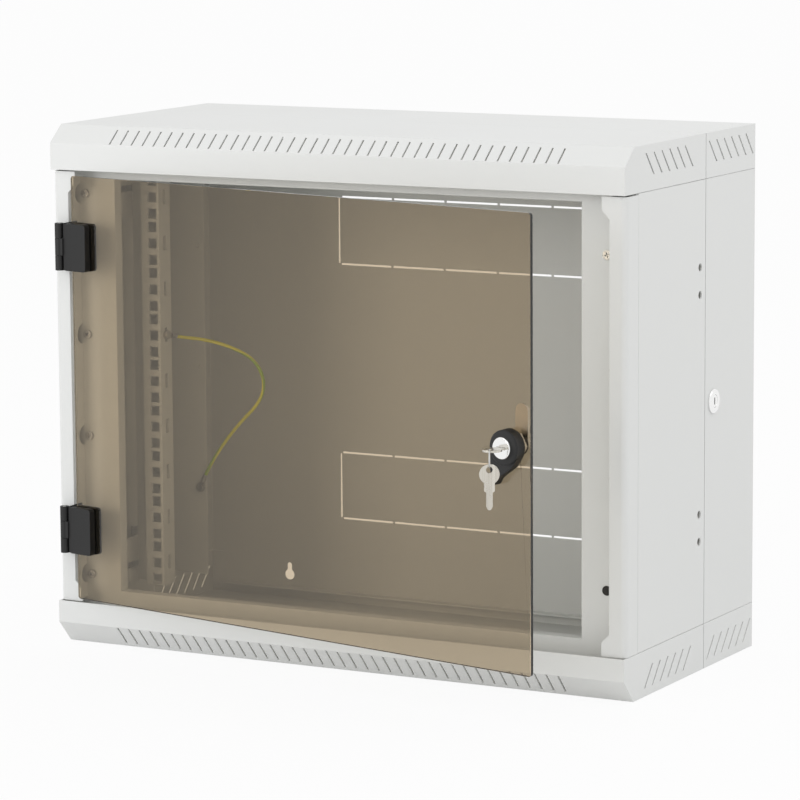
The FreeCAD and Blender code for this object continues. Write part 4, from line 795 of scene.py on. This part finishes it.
def groove_cutter(side):
    """Bar as wide as the groove, let in from one flat of the key; side is 1 or -1."""
    low, high = (Vector(corner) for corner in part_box("spare_key"))
    across, along = joint_axis("ring_swing"), joint_axis("spare_key_swing")
    turn = Matrix((across, along, across.cross(along))).transposed().to_4x4()
    middle = (low + high) / 2
    middle.z = low.z + GROOVE_LONG / 2 + GROOVE_FOOT
    deselect_all()
    bpy.ops.mesh.primitive_cube_add(size=1)
    bar = bpy.context.active_object
    bar.scale = (GROOVE_WIDE, GROOVE_DEEP * 2, GROOVE_LONG)
    settle(bar)
    bar.matrix_world = Matrix.Translation(middle + along * KEY_HALF_THICK * side) @ turn
    settle(bar)
    return bar


for side in (1, -1):
    cut_away(dressed["spare_key"], groove_cutter(side))

# %% [markdown]
# The other nodes keep their own mesh and get a finish on their material slots.

# %% Finishes on the frame's own meshes
for node, item in frame["nodes"].items():
    slot = SLOTS[node]
    if node in dressed or slot not in FINISHES:
        continue
    item.data.materials.clear()
    item.data.materials.append(FINISHES[slot])

# %% [markdown]
# ## Floor and light
#
# The set is a pale floor that runs off to the horizon. The world lights the cabinet evenly, and
# two large soft lamps model it: one high on the right, and one from the front left that reaches
# inside. For rays that the camera, gloss or glass sends out, the world is white and the floor
# nearly so, which leaves the cabinet its faint shadow and gives chrome something bright to show.

# %% World
SKY_STRENGTH = 0.84
WHITE = (1, 1, 1, 1)


def white_for_seen_rays(nodes, links):
    """A 0 to 1 socket that is 1 for camera, glossy and transmitted rays."""
    paths = nodes.new("ShaderNodeLightPath")
    total = paths.outputs["Is Camera Ray"]
    for name in ("Is Glossy Ray", "Is Transmission Ray"):
        top = nodes.new("ShaderNodeMath")
        top.operation = "MAXIMUM"
        links.new(total, top.inputs[0])
        links.new(paths.outputs[name], top.inputs[1])
        total = top.outputs[0]
    return total


world = bpy.data.worlds.new("studio")
scene.world = world
world.use_nodes = True
nodes, links = world.node_tree.nodes, world.node_tree.links
soft = nodes["Background"]
soft.inputs["Color"].default_value = WHITE
soft.inputs["Strength"].default_value = SKY_STRENGTH
seen = nodes.new("ShaderNodeBackground")
seen.inputs["Color"].default_value = WHITE
seen.inputs["Strength"].default_value = 1.0
mix = nodes.new("ShaderNodeMixShader")
links.new(white_for_seen_rays(nodes, links), mix.inputs["Fac"])
links.new(soft.outputs["Background"], mix.inputs[1])
links.new(seen.outputs["Background"], mix.inputs[2])
links.new(mix.outputs["Shader"], nodes["World Output"].inputs["Surface"])

# %% Floor
FLOOR_DROP, FLOOR_SIZE = 0.0004, 24
FLOOR_TONE, FLOOR_ROUGH, FLOOR_GLOW = 0.82, 0.9, 0.92


def studio_floor():
    lowest = cad_box[0][2]
    bpy.ops.mesh.primitive_plane_add(size=FLOOR_SIZE, location=(0, 0, lowest - FLOOR_DROP))
    floor = bpy.context.active_object
    floor.name = "studio_floor"
    material = bpy.data.materials.new("pale floor")
    material.use_nodes = True
    nodes, links = material.node_tree.nodes, material.node_tree.links
    shader = nodes["Principled BSDF"]
    shader.inputs["Base Color"].default_value = (FLOOR_TONE, FLOOR_TONE, FLOOR_TONE, 1)
    shader.inputs["Roughness"].default_value = FLOOR_ROUGH
    glow = nodes.new("ShaderNodeEmission")
    glow.inputs["Strength"].default_value = 1.0
    share = nodes.new("ShaderNodeMath")
    share.operation = "MULTIPLY"
    share.inputs[1].default_value = FLOOR_GLOW
    links.new(white_for_seen_rays(nodes, links), share.inputs[0])
    mix = nodes.new("ShaderNodeMixShader")
    links.new(share.outputs[0], mix.inputs["Fac"])
    links.new(shader.outputs["BSDF"], mix.inputs[1])
    links.new(glow.outputs["Emission"], mix.inputs[2])
    links.new(mix.outputs["Shader"], nodes["Material Output"].inputs["Surface"])
    floor.data.materials.append(material)
    settle(floor)


studio_floor()


# %% Lamps
AIM = (0, -0.15, 0)


def soft_lamp(name, place, size, power):
    bpy.ops.object.light_add(type="AREA", location=place)
    lamp = bpy.context.active_object
    lamp.name = name
    lamp.data.size = size
    lamp.data.energy = power
    lamp.rotation_euler = (Vector(AIM) - Vector(place)).to_track_quat("-Z", "Y").to_euler()


soft_lamp("key_lamp", (1.9, -0.1, 1.9), size=1.4, power=9)
soft_lamp("front_lamp", (-1.4, -3.1, 0.7), size=1.2, power=25)

# %% [markdown]
# The view transform is Standard, so a colour comes out as it is written.

# %% Finish
scene.view_settings.view_transform = "Standard"
